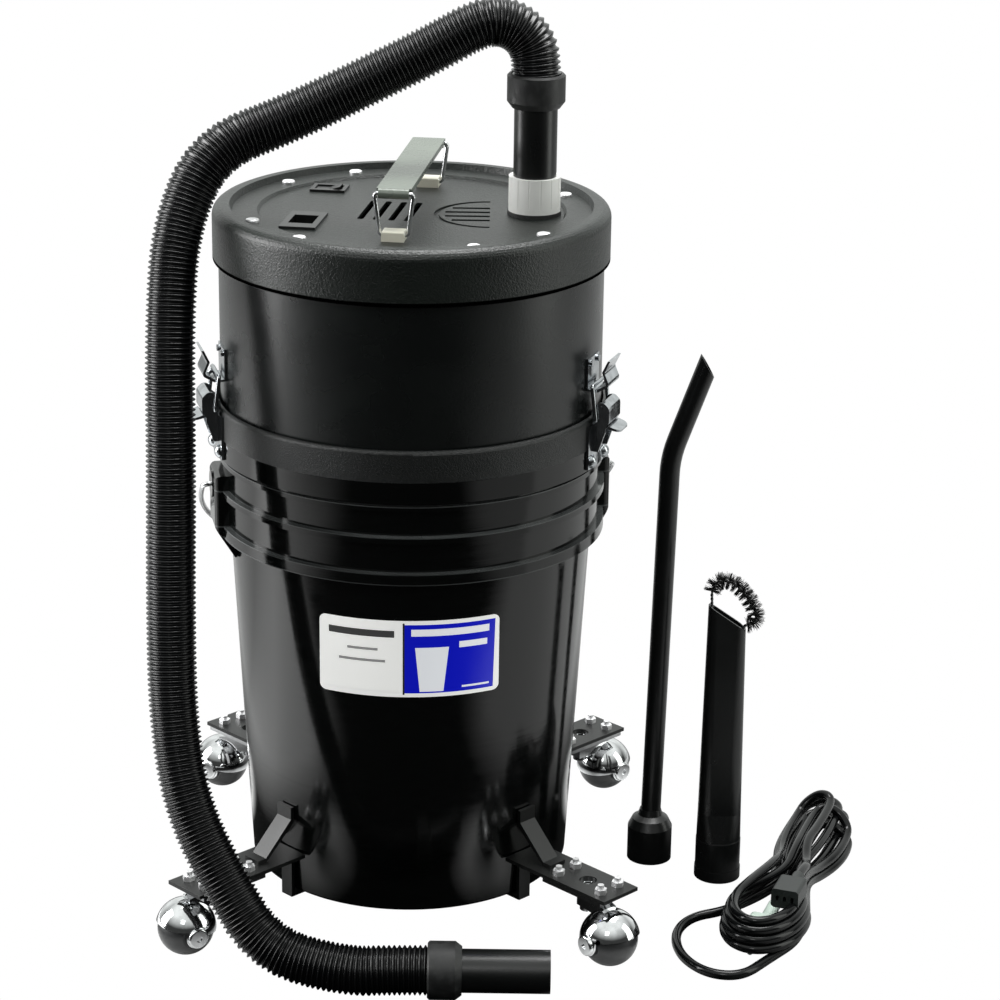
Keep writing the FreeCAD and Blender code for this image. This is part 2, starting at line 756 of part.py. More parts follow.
def label():
    """Thin sticker that follows the pail's cone."""
    low, high = LABEL_Z
    outline = [(pail_outer(z) + t, z) for z, t in ((low, 0.0), (low, LABEL_T), (high, LABEL_T), (high, 0.0))]
    cone = revolved(outline)
    mid = (LABEL_FROM + LABEL_TO) / 2.0
    reach = 2.0 * RIM_R
    half_width = pail_outer(high) * math.sin(math.radians((LABEL_TO - LABEL_FROM) / 2.0))
    window = block((0.0, reach), (-half_width, half_width), (low, high))
    corners = [edge for edge in window.Edges if edge.BoundBox.XLength > reach - 1.0]
    window = window.makeFillet(LABEL_CORNER, corners)
    return cone.common(turned(window, mid))


def bail_hang():
    """Angle from straight down, in degrees, at which the bail's lowest point meets the sloping wall."""
    slope = (pail_outer(EAR_Z) - pail_outer(EAR_Z - BAIL_DEPTH)) / BAIL_DEPTH
    reach = (pail_outer(EAR_Z) + BAIL_WIRE_R + BAIL_GAP) / BAIL_DEPTH
    return math.degrees(math.asin(reach / math.hypot(1.0, slope)) - math.atan(slope))


def pail_bail():
    """Wire bail, drawn straight down from its pins and then leaned back against the pail."""
    arc_top = EAR_Z - (BAIL_DEPTH - BAIL_R)
    halves = []
    for side in (1, -1):
        points = [V(side * BAIL_PIN_IN, 0, EAR_Z), V(side * BAIL_R, 0, EAR_Z), V(side * BAIL_R, 0, arc_top)]
        corner = points[1]
        enter = corner + V(-side * BAIL_CORNER, 0, 0)
        leave = corner + V(0, 0, -BAIL_CORNER)
        middle = corner + V(-side, 0, -1) * (BAIL_CORNER * (1.0 - math.sqrt(0.5)))
        halves.append((points[0], enter, middle, leave, points[2]))
    right, left = halves
    bottom = V(0, 0, arc_top - BAIL_R)
    edges = [
        Part.LineSegment(right[0], right[1]).toShape(),
        Part.Arc(right[1], right[2], right[3]).toShape(),
        Part.LineSegment(right[3], right[4]).toShape(),
        Part.Arc(right[4], bottom, left[4]).toShape(),
        Part.LineSegment(left[4], left[3]).toShape(),
        Part.Arc(left[3], left[2], left[1]).toShape(),
        Part.LineSegment(left[1], left[0]).toShape(),
    ]
    bail = swept(Part.Wire(edges), right[0], OUT, BAIL_WIRE_R)
    bail.rotate(V(0, 0, EAR_Z), OUT, bail_hang())
    return turned(bail, EAR_TURN)


# ---------------------------------------------------------------- adapter, filter, drum, lid
PLATE_TOP_Z = RIM_TOP_Z + GASKET_T + ADAPTER_T
DRUM_LOW_Z = PLATE_TOP_Z + GASKET_T
DRUM_TOP_Z = SHELF_Z - LID_T
DRUM_IN = DRUM_R - DRUM_WALL
PIPE_IN = COLLAR_R - 2.0 + SLIP
PIPE_OUT = PIPE_IN + PIPE_WALL
LID_UNDER_Z = LID_FLOOR_Z - LID_T
INLET = (INLET_X, INLET_Y)


def adapter():
    """Band round the pail's rim with a plate across it that carries the filter and the head."""
    low, high = BAND_Z
    inner = BAND_R - BAND_WALL
    band = ring(BAND_R, inner, low, high)
    top = [edge for edge in band.Edges if abs(edge.BoundBox.ZMin - high) < 0.01]
    band = band.makeFillet(BAND_EDGE, [edge for edge in top if edge.BoundBox.XMax > inner + 1])
    plate = ring(inner + 0.5, FILTER_HOLE_R, PLATE_TOP_Z - ADAPTER_T, PLATE_TOP_Z)
    body = fused([band, plate])
    for angle in LATCHES.values():
        for side in (-1, 1):
            y = side * RIVET_Y
            hole = rod(V(inner - 4.0, y, RIVET_Z), V(BAND_R + 4.0, y, RIVET_Z), RIVET_R)
            body = body.cut(turned(hole, angle))
    return body.cut(disc(PIPE_OUT + SLIP, RIM_TOP_Z, PLATE_TOP_Z + 1, INLET))


def pleat_outline(outer, inner, count):
    step = 360.0 / count
    corners = []
    for k in range(count):
        corners.append(polar(outer, k * step))
        corners.append(polar(inner, (k + 0.5) * step))
    return corners


def filter_media():
    top = PLATE_TOP_Z - ADAPTER_T - FILTER_CAP_T
    star = profile(pleat_outline(FILTER_R, FILTER_VALLEY_R, FILTER_PLEATS), top - FILTER_LEN, top, "xy")
    return star.cut(disc(FILTER_BORE_R, top - FILTER_LEN - 1, top + 1))


def filter_caps():
    top = PLATE_TOP_Z - ADAPTER_T
    open_cap = ring(FILTER_R + 2.0, FILTER_BORE_R, top - FILTER_CAP_T, top)
    low = top - FILTER_CAP_T - FILTER_LEN
    closed_cap = disc(FILTER_R + 2.0, low - FILTER_CAP_T, low)
    return [open_cap, closed_cap]


def drum():
    wall = ring(DRUM_R, DRUM_IN, DRUM_LOW_Z, DRUM_TOP_Z)
    flange = ring(DRUM_R - 1.0, DRUM_FLANGE_IN, DRUM_TOP_Z - LID_T, DRUM_TOP_Z)
    body = fused([wall, flange])
    for place in screw_places():
        body = body.cut(disc(SCREW_R + HOLE_GAP, DRUM_TOP_Z - LID_T - 1, DRUM_TOP_Z + 1, place))
    return body


def screw_places():
    """Four pairs of lid screws, evenly round the lid."""
    places = []
    for quarter in range(4):
        for side in (-1, 1):
            places.append(polar(SCREW_RING_R, LID_TURN + 45.0 + 90.0 * quarter + side * SCREW_PAIR))
    return places


def lid_body():
    skirt_in = DRUM_R + REST
    outline = [(LID_R, LID_SKIRT_Z), (LID_R, LID_CREST_Z - LID_ROUND)]
    steps = 6
    for k in range(1, steps + 1):
        angle = math.radians(90.0 * k / steps)
        outline.append((
            LID_R - LID_ROUND * (1.0 - math.cos(angle)),
            LID_CREST_Z - LID_ROUND * (1.0 - math.sin(angle)),
        ))
    outline += [(LID_CREST_IN, LID_CREST_Z), (SHELF_OUT, SHELF_Z), (SHELF_IN, SHELF_Z)]
    outline += [(LID_FLOOR_R, LID_FLOOR_Z), (0.0, LID_FLOOR_Z), (0.0, LID_UNDER_Z)]
    outline += [(SHELF_IN - 1.5, LID_UNDER_Z), (SHELF_IN + 0.5, DRUM_TOP_Z), (skirt_in, DRUM_TOP_Z)]
    outline += [(skirt_in, LID_SKIRT_Z)]
    return revolved(outline)


def lid_slots():
    """Parallel air slots under the handle."""
    cutters = []
    low = LID_UNDER_Z - 1
    high = LID_FLOOR_Z + 1
    for k in range(SLOT_COUNT):
        x = SLOT_FIRST_X + k * SLOT_PITCH
        body = block((x - SLOT_W / 2, x + SLOT_W / 2), (-SLOT_L / 2, SLOT_L / 2), (low, high))
        ends = [disc(SLOT_W / 2, low, high, (x, side * SLOT_L / 2)) for side in (-1, 1)]
        cutters.append(turned(fused([body] + ends), LID_TURN))
    return cutters


def vent_cuts():
    """Half-moon exhaust vent: a curved groove and straight louvre slots."""
    centre = (VENT_FLAT_X, VENT_Y)
    groove = ring(VENT_R, VENT_R - VENT_GROOVE_W, LID_FLOOR_Z - VENT_GROOVE_D, LID_FLOOR_Z + 1, centre)
    across = (VENT_Y - VENT_R - 1, VENT_Y + VENT_R + 1)
    cuts = [groove.common(block((0.0, VENT_FLAT_X), across, (LID_UNDER_Z, LID_FLOOR_Z + 2)))]
    for k in range(LOUVRE_COUNT):
        y = (k - (LOUVRE_COUNT - 1) / 2.0) * LOUVRE_PITCH
        reach = math.sqrt((VENT_R - LOUVRE_SHORT) ** 2 - y * y)
        span = (VENT_FLAT_X - reach, VENT_FLAT_X)
        slot = block(span, (-LOUVRE_W / 2, LOUVRE_W / 2), (LID_UNDER_Z - 1, LID_FLOOR_Z + 1))
        cuts.append(moved(slot, 0.0, VENT_Y + y))
    return cuts


def lid():
    body = lid_body()
    low = LID_UNDER_Z - 1
    cutters = lid_slots() + vent_cuts()
    cutters += [disc(SCREW_R + HOLE_GAP, low, SHELF_Z + 1, place) for place in screw_places()]
    cutters += [disc(SCREW_R + HOLE_GAP, low, LID_FLOOR_Z + 1, place) for place in clip_places()]
    cutters.append(disc(COLLAR_R - 2.0 + SLIP, low, LID_FLOOR_Z + 1, INLET))
    cutters.append(centred_block(POWER_AT, POWER_BODY_W, POWER_BODY_L, low, LID_FLOOR_Z + 1))
    cutters.append(centred_block(SWITCH_AT, SWITCH_BODY_W, SWITCH_BODY_L, low, LID_FLOOR_Z + 1))
    for cutter in cutters:
        body = body.cut(cutter)
    return body


def lid_screw(at, seat, grip):
    """Pan-head screw with its head above the seat."""
    head = disc(SCREW_HEAD_R, seat, seat + SCREW_HEAD_H, at)
    top_edge = [edge for edge in head.Edges if edge.BoundBox.ZMin > seat + SCREW_HEAD_H - 0.01]
    head = head.makeFillet(SCREW_HEAD_H * 0.5, top_edge)
    return fused([head, disc(SCREW_R, seat - grip, seat, at)])


def lid_screws():
    return [lid_screw(place, SHELF_Z, SCREW_LEN) for place in screw_places()]


def lid_nuts():
    top = DRUM_TOP_Z - LID_T
    nuts = []
    for place in screw_places():
        nut = hexagon(LOCK_NUT_R, top - LOCK_NUT_H, top, place)
        nuts.append(nut.cut(disc(SCREW_R, top - LOCK_NUT_H - 1, top + 1, place)))
    for place in clip_places():
        nut = hexagon(LOCK_NUT_R, LID_UNDER_Z - LOCK_NUT_H, LID_UNDER_Z, place)
        nuts.append(nut.cut(disc(SCREW_R, LID_UNDER_Z - LOCK_NUT_H - 1, LID_UNDER_Z + 1, place)))
    return nuts


def gasket(low):
    outer = RIM_R
    return ring(outer, outer - GASKET_W, low, low + GASKET_T)


# ---------------------------------------------------------------- power inlet, switch
def centred_block(at, width, length, low, high):
    """Block centred on a point, turned with the lid's layout."""
    body = block((-width / 2, width / 2), (-length / 2, length / 2), (low, high))
    return moved(turned(body, LID_TURN), at[0], at[1])


def power_inlet():
    top = LID_FLOOR_Z + POWER_FLANGE_T
    flange = centred_block(POWER_AT, POWER_W, POWER_L, LID_FLOOR_Z, top)
    body_w = POWER_BODY_W - 2 * SLIP
    body_l = POWER_BODY_L - 2 * SLIP
    body = centred_block(POWER_AT, body_w, body_l, top - POWER_BODY_D, top)
    well = centred_block(POWER_AT, body_w - 4.0, body_l - 4.0, top - POWER_WELL, top + 1)
    shell = fused([flange, body]).cut(well)
    pins = []
    for offset in (-7.0, 0.0, 7.0):
        across = 4.0 if offset == 0.0 else 0.0
        place = lid_local(across, offset)
        at = (POWER_AT[0] + place[0], POWER_AT[1] + place[1])
        pins.append(centred_block(at, 2.0, 4.0, top - POWER_WELL - 1.0, top - POWER_WELL + POWER_PIN_L))
    return fused([shell] + pins)


def rocker_pivot_z():
    return LID_FLOOR_Z + SWITCH_FLANGE_T - ROCKER_PIVOT_DROP


def switch_housing():
    top = LID_FLOOR_Z + SWITCH_FLANGE_T
    flange = centred_block(SWITCH_AT, SWITCH_W, SWITCH_L, LID_FLOOR_Z, top)
    low = top - SWITCH_BODY_D
    body = centred_block(SWITCH_AT, SWITCH_BODY_W - 2 * SLIP, SWITCH_BODY_L - 2 * SLIP, low, top)
    well = centred_block(SWITCH_AT, ROCKER_W + 1.2, ROCKER_L + 0.8, low + 3.0, top + 1)
    shell = fused([flange, body]).cut(well)
    half = ROCKER_L / 2 + 0.4
    pins = []
    for side in (-1, 1):
        start = V(0, side * (half + 1.0), rocker_pivot_z())
        end = V(0, side * (half - 3.0), rocker_pivot_z())
        pins.append(moved(turned(rod(start, end, ROCKER_PIN_R), LID_TURN), SWITCH_AT[0], SWITCH_AT[1]))
    return fused([shell] + pins)


def switch_rocker():
    """Rocker with its upper face bent in the middle, tipped to its off side."""
    pivot = rocker_pivot_z()
    half = ROCKER_W / 2
    lift = 1.6
    outline = [(-half, pivot + 3.5), (0.0, pivot + 3.5 - lift), (half, pivot + 3.5)]
    outline += [(half - 1.5, pivot - 2.0), (4.0, pivot - 5.0)]
    outline += [(-4.0, pivot - 5.0), (-half + 1.5, pivot - 2.0)]
    body = profile(outline, -ROCKER_L / 2, ROCKER_L / 2)
    body = body.cut(rod(V(0, -ROCKER_L, pivot), V(0, ROCKER_L, pivot), ROCKER_PIN_R + RUN))
    body.rotate(V(0, 0, pivot), SIDE, -ROCKER_TILT)
    return moved(turned(body, LID_TURN), SWITCH_AT[0], SWITCH_AT[1])


# ---------------------------------------------------------------- inlet
COLLAR_LOW = LID_FLOOR_Z + COLLAR_GASKET_T


def inlet_collar():
    """Clamp collar that grips the hose tube, with its spigot through the lid."""
    top = COLLAR_LOW + COLLAR_H
    body = disc(COLLAR_R, COLLAR_LOW, top, INLET)
    spigot = disc(COLLAR_R - 2.0, LID_FLOOR_Z - SPIGOT_LEN, COLLAR_LOW, INLET)
    body = fused([body, spigot])
    body = body.cut(disc(TUBE_R + RUN, COLLAR_LOW + 4.0, top + 1, INLET))
    body = body.cut(disc(TUBE_R - TUBE_WALL, LID_FLOOR_Z - SPIGOT_LEN - 1, top + 1, INLET))
    for k in range(COLLAR_RIBS):
        x, y = polar(COLLAR_R + 0.4, 360.0 * k / COLLAR_RIBS)
        groove = disc(COLLAR_GROOVE, COLLAR_LOW + 4.0, top + 1, (INLET_X + x, INLET_Y + y))
        body = body.cut(groove)
    return body


def inlet_gasket():
    return ring(COLLAR_GASKET_R, COLLAR_R - 2.0, LID_FLOOR_Z, COLLAR_LOW, INLET)


def inlet_pipe():
    """Pipe from the lid down through the motor plate and the adapter plate into the pail."""
    low = PLATE_TOP_Z - ADAPTER_T - PIPE_BELOW
    return ring(PIPE_OUT, PIPE_IN, low, LID_UNDER_Z - SLIP, INLET)


# ---------------------------------------------------------------- carrying handle
HINGE_Z = LID_FLOOR_Z + HANDLE_HINGE_UP


def clip_places():
    return [lid_local(0.0, side * (CLIP_SPAN / 2), HANDLE_TURN) for side in (-1, 1)]


def handle_clip():
    """Saddle on the lid that holds the loop's foot wire, hinge line on the Y axis' origin."""
    body = block((-CLIP_W / 2, CLIP_W / 2), (-CLIP_L / 2, CLIP_L / 2), (LID_FLOOR_Z, LID_FLOOR_Z + CLIP_H))
    crest = [edge for edge in body.Edges if edge.BoundBox.ZMin > LID_FLOOR_Z + CLIP_H - 0.01]
    body = body.makeFillet(1.2, crest)
    body = body.cut(rod(V(-CLIP_W, 0, HINGE_Z), V(CLIP_W, 0, HINGE_Z), HANDLE_WIRE_R + RUN))
    shank = disc(SCREW_R, LID_UNDER_Z - LOCK_NUT_H - 1.5, LID_FLOOR_Z + 0.5)
    return fused([body, shank])


def handle_loop():
    """Closed wire loop: foot wire in the clip, sides, top wire in the grip's curl."""
    foot = LOOP_FOOT_HALF
    top = LOOP_TOP_HALF
    middle = V(0, 0, HINGE_Z)
    crest = V(0, 0, GRIP_Z)
    halves = []
    for side in (-1, 1):
        points = [middle, V(side * foot, 0, HINGE_Z), V(side * top, 0, GRIP_Z), crest]
        halves.append(wire_form(points, HANDLE_WIRE_R, LOOP_BEND_R)[0])
    return fused(halves)


def handle_grip():
    """Shallow steel channel with a curl at each end round the loops' top wires."""
    half = CLIP_SPAN / 2
    top = GRIP_Z + CURL_R
    strap = block((-GRIP_W / 2, GRIP_W / 2), (-half, half), (top - GRIP_T, top))
    pieces = [strap]
    for side in (-1, 1):
        across = sorted((side * GRIP_W / 2, side * (GRIP_W / 2 - GRIP_T)))
        pieces.append(block(across, (-half + 6.0, half - 6.0), (top - GRIP_SIDE, top)))
        y = side * half
        pieces.append(rod(V(-CURL_HALF, y, GRIP_Z), V(CURL_HALF, y, GRIP_Z), CURL_R))
    grip = fused(pieces)
    for side in (-1, 1):
        y = side * half
        grip = grip.cut(rod(V(-GRIP_W, y, GRIP_Z), V(GRIP_W, y, GRIP_Z), HANDLE_WIRE_R + RUN))
    return turned(grip, HANDLE_TURN)


def place_on_lid(shape, side):
    """From the hinge-line frame to one end of the handle."""
    x, y = lid_local(0.0, side * CLIP_SPAN / 2, HANDLE_TURN)
    return moved(turned(shape, HANDLE_TURN), x, y)


# ---------------------------------------------------------------- latches
def near_any(box, points):
    """Whether an edge's bounding box is centred on one of some (x, z) points."""
    return any(math.hypot(box.Center.x - x, box.Center.z - z) < 0.05 for x, z in points)


def latch_base():
    """Curved plate riveted on the band with two ears that carry the lever's pivot pin."""
    outer = BAND_R + BASE_T
    shell = ring(outer, BAND_R, BASE_Z[0], BASE_Z[1])
    plate = shell.common(block((0.0, outer + 1), (-BASE_W / 2, BASE_W / 2), BASE_Z))
    for side in (-1, 1):
        start = V(BAND_R - 8.0, side * RIVET_Y, RIVET_Z)
        plate = plate.cut(rod(start, V(outer + 8.0, side * RIVET_Y, RIVET_Z), RIVET_R))
    px, pz = PIVOT
    shoulder = BAND_Z[1] + 1.0
    outline = [
        (BAND_R + 1.2, EAR_LOW_Z),
        (BAND_R + 5.0, EAR_LOW_Z),
        (px + PIVOT_EYE_R, BASE_Z[1] - 6.0),
        (px + PIVOT_EYE_R, pz),
        (px - PIVOT_EYE_R, pz),
        (DRUM_R + 4.0, pz - 4.0),
        (DRUM_R + 4.0, shoulder),
        (BAND_R + 1.2, shoulder),
    ]
    ears = []
    for side in (-1, 1):
        span = sorted((side * EAR_IN, side * (EAR_IN + EAR_T)))
        ears.append(profile(outline, span[0], span[1]))
        ears.append(rod(V(px, span[0], pz), V(px, span[1], pz), PIVOT_EYE_R))
    reach = EAR_IN + EAR_T + LEVER_GAP + LEVER_T + 0.6
    pin = rod(V(px, -reach, pz), V(px, reach, pz), PIVOT_PIN_R)
    return fused([plate] + ears + [pin])


def latch_rivets():
    """Two domed rivets through the base and the band."""
    rivets = []
    outer = BAND_R + BASE_T
    around = 3 * RIVET_HEAD_R
    for side in (-1, 1):
        y = side * RIVET_Y
        seat = math.sqrt(outer * outer - y * y)
        inner = BAND_R - BAND_WALL
        shank = rod(V(inner - 1.0, y, RIVET_Z), V(seat, y, RIVET_Z), RIVET_R)
        sphere_r = (RIVET_HEAD_R ** 2 + RIVET_HEAD_H ** 2) / (2 * RIVET_HEAD_H)
        dome = Part.makeSphere(sphere_r, V(seat + RIVET_HEAD_H - sphere_r, y, RIVET_Z))
        outside = block((seat, seat + around), (y - around, y + around), (RIVET_Z - around, RIVET_Z + around))
        dome = dome.common(outside)
        dome = dome.fuse(rod(V(seat - 1.5, y, RIVET_Z), V(seat, y, RIVET_Z), RIVET_HEAD_R))
        barrel = ring(outer + around, outer, RIVET_Z - around, RIVET_Z + around)
        dome = dome.common(barrel)
        rivets.append(fused([dome, shank]))
    return rivets


def latch_keeper():
    """Claw-shaped catch on the drum: base plate, channel for the wire, bulging wall and flared lip."""
    low, high = KEEPER_Z
    outer = DRUM_R + KEEPER_BASE_T
    window = block((0.0, outer + 1), (-KEEPER_HALF, KEEPER_HALF), (low, high))
    base = ring(outer, DRUM_R, low, high).common(window)
    wall = [
        (BAND_R + 4.0, low),
        (KEEPER_BULGE_R, low + 5.0),
        (KEEPER_BULGE_R, low + 8.0),
        (KEEPER_NECK_R, low + 16.0),
        (KEEPER_LIP_R, high),
    ]
    back = [(radius - KEEPER_T * 1.15, z + KEEPER_T * 0.6) for radius, z in wall[:2]]
    back += [(radius - KEEPER_T, z) for radius, z in wall[2:]]
    outline = [(DRUM_R + 0.2, low)] + wall + back[::-1] + [(DRUM_R + 0.2, low + KEEPER_T)]
    hook = profile(outline, -KEEPER_HALF, KEEPER_HALF)
    hook = rounded(hook, KEEPER_ROUND, lambda box: box.YLength > KEEPER_HALF and near_any(box, wall[:4]))
    hook = rounded(hook, KEEPER_ROUND / 3, lambda box: box.YLength > KEEPER_HALF and near_any(box, back[1:4]))
    body = fused([base, hook]).cut(disc(DRUM_R, low - 1, high + 1))
    for side in (-1, 1):
        y = side * KEEPER_HALF * 0.6
        z = high - 4.0
        head = rod(V(DRUM_R, y, z), V(outer + 1.6, y, z), 2.6)
        body = fused([body, head.cut(disc(DRUM_R, low - 1, high + 1))])
    return body


def latch_lever():
    """Rounded channel lever over the base's ears, with a tongue-shaped finger tab."""
    inner = EAR_IN + EAR_T + LEVER_GAP
    outer = inner + LEVER_T
    px, pz = PIVOT
    ax, az = ATTACH
    front = px + 5.4
    low = TAB_Z
    skin = [
        (ax - 3.4, az - 3.0),
        (front - 1.0, low),
        (front + LEVER_T, low + 5.0),
        (front + LEVER_T, pz),
        (px + 1.0, pz + 6.0),
        (px - 4.2, pz + 2.0),
        (ax - 3.4, az + 3.0),
    ]
    body = profile(skin, -outer, outer)
    body = rounded(body, LEVER_ROUND, lambda box: box.YLength > outer and near_any(box, skin[3:5]))
    hollow = [
        (ax - 12.0, low - 9.0),
        (front - 1.0, low - 9.0),
        (front - 1.0, low - 1.0),
        (front, low + 5.5),
        (front, pz - 0.5),
        (px + 0.6, pz + 4.4),
        (px - 1.0, pz + 12.0),
        (ax - 12.0, pz + 12.0),
    ]
    core = profile(hollow, -inner, inner)
    core = rounded(core, LEVER_ROUND - LEVER_T, lambda box: box.YLength > inner and near_any(box, hollow[4:6]))
    body = body.cut(core)
    tip = px + TAB_OUT
    tongue = [
        (front - 1.0, low),
        (front + 0.6, low + 2.0),
        (tip, low - 1.0),
        (tip, low - 2.6),
        (front + 1.0, low - 0.6),
    ]
    tab = profile(tongue, -outer + 1.5, outer - 1.5)
    tab = rounded(tab, TAB_ROUND, lambda box: box.ZLength > 1.0 and box.YLength < 0.1 and box.Center.x > tip - 0.1)
    lever = fused([body, tab])
    lever = lever.cut(rod(V(px, -outer - 1, pz), V(px, outer + 1, pz), PIVOT_PIN_R + RUN))
    return lever.cut(rod(V(ax, -outer - 1, az), V(ax, outer + 1, az), LOOP_WIRE_R + RUN))


def latch_loop():
    """Wire loop from the lever's cheeks up into the keeper's channel."""
    ax, az = ATTACH
    hx, hz = HOOK_ROD
    inner = EAR_IN + EAR_T + LEVER_GAP + 0.2
    arm = LOOP_ARM_Y
    points = [V(ax, -inner, az), V(ax, -arm, az), V(hx, -arm, hz)]
    points += [V(hx, arm, hz), V(ax, arm, az), V(ax, inner, az)]
    body, path, radii = wire_form(points, LOOP_WIRE_R, LATCH_BEND_R)
    return body


def make_latches():
    bases = []
    rivets = []
    keepers = []
    for side, angle in LATCHES.items():
        bases.append(turned(latch_base(), angle))
        rivets += [turned(rivet, angle) for rivet in latch_rivets()]
        keepers.append(turned(latch_keeper(), angle))
        export("latch_lever_" + side, [turned(latch_lever(), angle)])
        export("latch_loop_" + side, [turned(latch_loop(), angle)])
    export("latch_bases", bases)
    export("latch_rivets", rivets)
    export("latch_keepers", keepers)


# ---------------------------------------------------------------- motor
FAN_CASE_Z = PLATE_Z + MOTOR_PLATE_T
FRAME_Z = FAN_CASE_Z + FAN_CASE_H


def motor_plate():
    plate = ring(DRUM_IN, FAN_EYE_R, PLATE_Z, FAN_CASE_Z)
    return plate.cut(disc(PIPE_OUT + SLIP, PLATE_Z - 1, FAN_CASE_Z + 1, INLET))


def fan_housing():
    top = FRAME_Z
    body = disc(FAN_CASE_R, FAN_CASE_Z, top)
    body = body.cut(disc(FAN_CASE_R - FAN_CASE_WALL, FAN_CASE_Z + FAN_CASE_WALL, top - BEARING_T))
    body = body.cut(disc(FAN_EYE_R, FAN_CASE_Z - 1, FAN_CASE_Z + FAN_CASE_WALL + 1))
    body = body.cut(disc(SHAFT_R + RUN, top - BEARING_T - 1, top + 1))
    for k in range(6):
        x, y = polar(FAN_CASE_R, 30.0 + 60.0 * k)
        port = rod(V(x * 0.9, y * 0.9, top - 16.0), V(x * 1.1, y * 1.1, top - 16.0), 6.0)
        body = body.cut(port)
    return body


def motor_frame():
    """Field stack in a windowed frame with the upper bearing."""
    top = FRAME_Z + FRAME_H
    shell = ring(FRAME_R, FRAME_R - FRAME_WALL, FRAME_Z, top)
    bridge = disc(FRAME_R - 0.5, top - BEARING_T, top).cut(disc(SHAFT_R + RUN, top - BEARING_T - 1, top + 1))
    for angle in (0.0, 90.0):
        across = (-FRAME_R * 2, FRAME_R * 2)
        gap = block((-WINDOW_W / 2, WINDOW_W / 2), across, (top - WINDOW_LOW, top - BEARING_T - 2.0))
        shell = shell.cut(turned(gap, angle))
    stack = ring(FRAME_R - FRAME_WALL + 0.5, STACK_IN, STACK_Z[0], STACK_Z[1])
    return fused([shell, bridge, stack])


def rotor():
    """Shaft, armature core, commutator and cooling fan."""
    top = FRAME_Z + FRAME_H
    shaft = disc(SHAFT_R, IMPELLER_Z - 3.0, top + COOLING_H + 2.0)
    core = disc(ARMATURE_R, STACK_Z[0] - 2.0, STACK_Z[1] + 2.0)
    commutator = disc(COMMUTATOR_R, STACK_Z[1] + 2.0, STACK_Z[1] + 6.0)
    pieces = [shaft, core, commutator, disc(COOLING_R, top + 1.5, top + 3.0)]
    for k in range(8):
        vane = block((SHAFT_R - 1.0, COOLING_R - 1.0), (-0.8, 0.8), (top + 2.0, top + 1.5 + COOLING_H))
        pieces.append(turned(vane, 45.0 * k))
    return fused(pieces)


def impeller():
    """Two shrouds with backward-leaning vanes between them."""
    top = IMPELLER_Z + IMPELLER_H
    back = disc(IMPELLER_R, top - IMPELLER_T, top)
    front = ring(IMPELLER_R, FAN_EYE_R - 3.0, IMPELLER_Z, IMPELLER_Z + IMPELLER_T)
    hub = disc(10.0, IMPELLER_Z, top)
    pieces = [back, front, hub]
    for k in range(IMPELLER_VANES):
        vane = block((12.0, IMPELLER_R - 1.0), (-0.8, 0.8), (IMPELLER_Z, top))
        vane.rotate(V(12.0, 0, 0), UP, -28.0)
        vane = vane.common(disc(IMPELLER_R - 0.5, IMPELLER_Z - 1, top + 1))
        pieces.append(turned(vane, 360.0 * k / IMPELLER_VANES))
    return fused(pieces).cut(disc(SHAFT_R, IMPELLER_Z - 1, top + 1))


# ---------------------------------------------------------------- hose
def cuff(length_tube, length_hose):
    """Rubber cuff along +Z from z = 0: tube bore below, hose bore above, rounded shoulder at the tube."""
    total = length_tube + length_hose
    bore_r = TUBE_SHOULDER_R
    hose_r = HOSE_R + CUFF_SLIP
    outline = [(bore_r, 0.0), (bore_r + 1.0, 0.0), (CUFF_R, CUFF_SHOULDER), (CUFF_R, total - 1.5)]
    outline += [(CUFF_R - 1.5, total), (hose_r, total), (hose_r, length_tube), (bore_r, length_tube)]
    return revolved(outline)


def hose_cuffs():
    upper = moved(cuff(CUFF_TUBE_LAP, CUFF_HOSE_LAP), INLET_X, INLET_Y, CUFF_LOW_Z)
    lower = cuff(CUFF_TUBE_LAP, CUFF_HOSE_LAP)
    lower.rotate(V(0, 0, 0), SIDE, -90)
    lower = moved(lower, CUFF_END_X, HOSE_END_Y, HOSE_FLOOR_Z)
    return [upper, lower]


def hose_tube():
    """Rigid stub that plugs into the inlet collar."""
    end = CUFF_LOW_Z + CUFF_TUBE_LAP
    stub = ring(TUBE_R, TUBE_R - TUBE_WALL, TUBE_LOW_Z, end, INLET)
    return stub.fuse(ring(TUBE_SHOULDER_R, TUBE_R - TUBE_WALL, CUFF_LOW_Z, end, INLET))


def hose_nozzle():
    """Rigid nozzle at the hose's free end, lying along +X."""
    start = V(CUFF_END_X - CUFF_TUBE_LAP, HOSE_END_Y, HOSE_FLOOR_Z)
    mouth = V(CUFF_END_X, HOSE_END_Y, HOSE_FLOOR_Z)
    end = V(NOZZLE_END_X, HOSE_END_Y, HOSE_FLOOR_Z)
    body = rod(start, end, TUBE_R).fuse(rod(start, mouth, TUBE_SHOULDER_R))
    return body.cut(rod(start - OUT, end + OUT, TUBE_R - TUBE_WALL))


def hose():
    points = [V(*p) for p in HOSE_ROUTE]
    path, radii = bent_path(points)
    outer = swept(path, points[0], points[1] - points[0], HOSE_R)
    bore = swept(path, points[0], points[1] - points[0], HOSE_BORE_R)
    body = outer.cut(bore)
    section = math.pi * (HOSE_R ** 2 - HOSE_BORE_R ** 2)
    print("hose length", round(path.Length, 1), "radii", [round(r, 1) for r in radii])
    print("hose volume over section times length", round(body.Volume / (section * path.Length), 4))
    return body


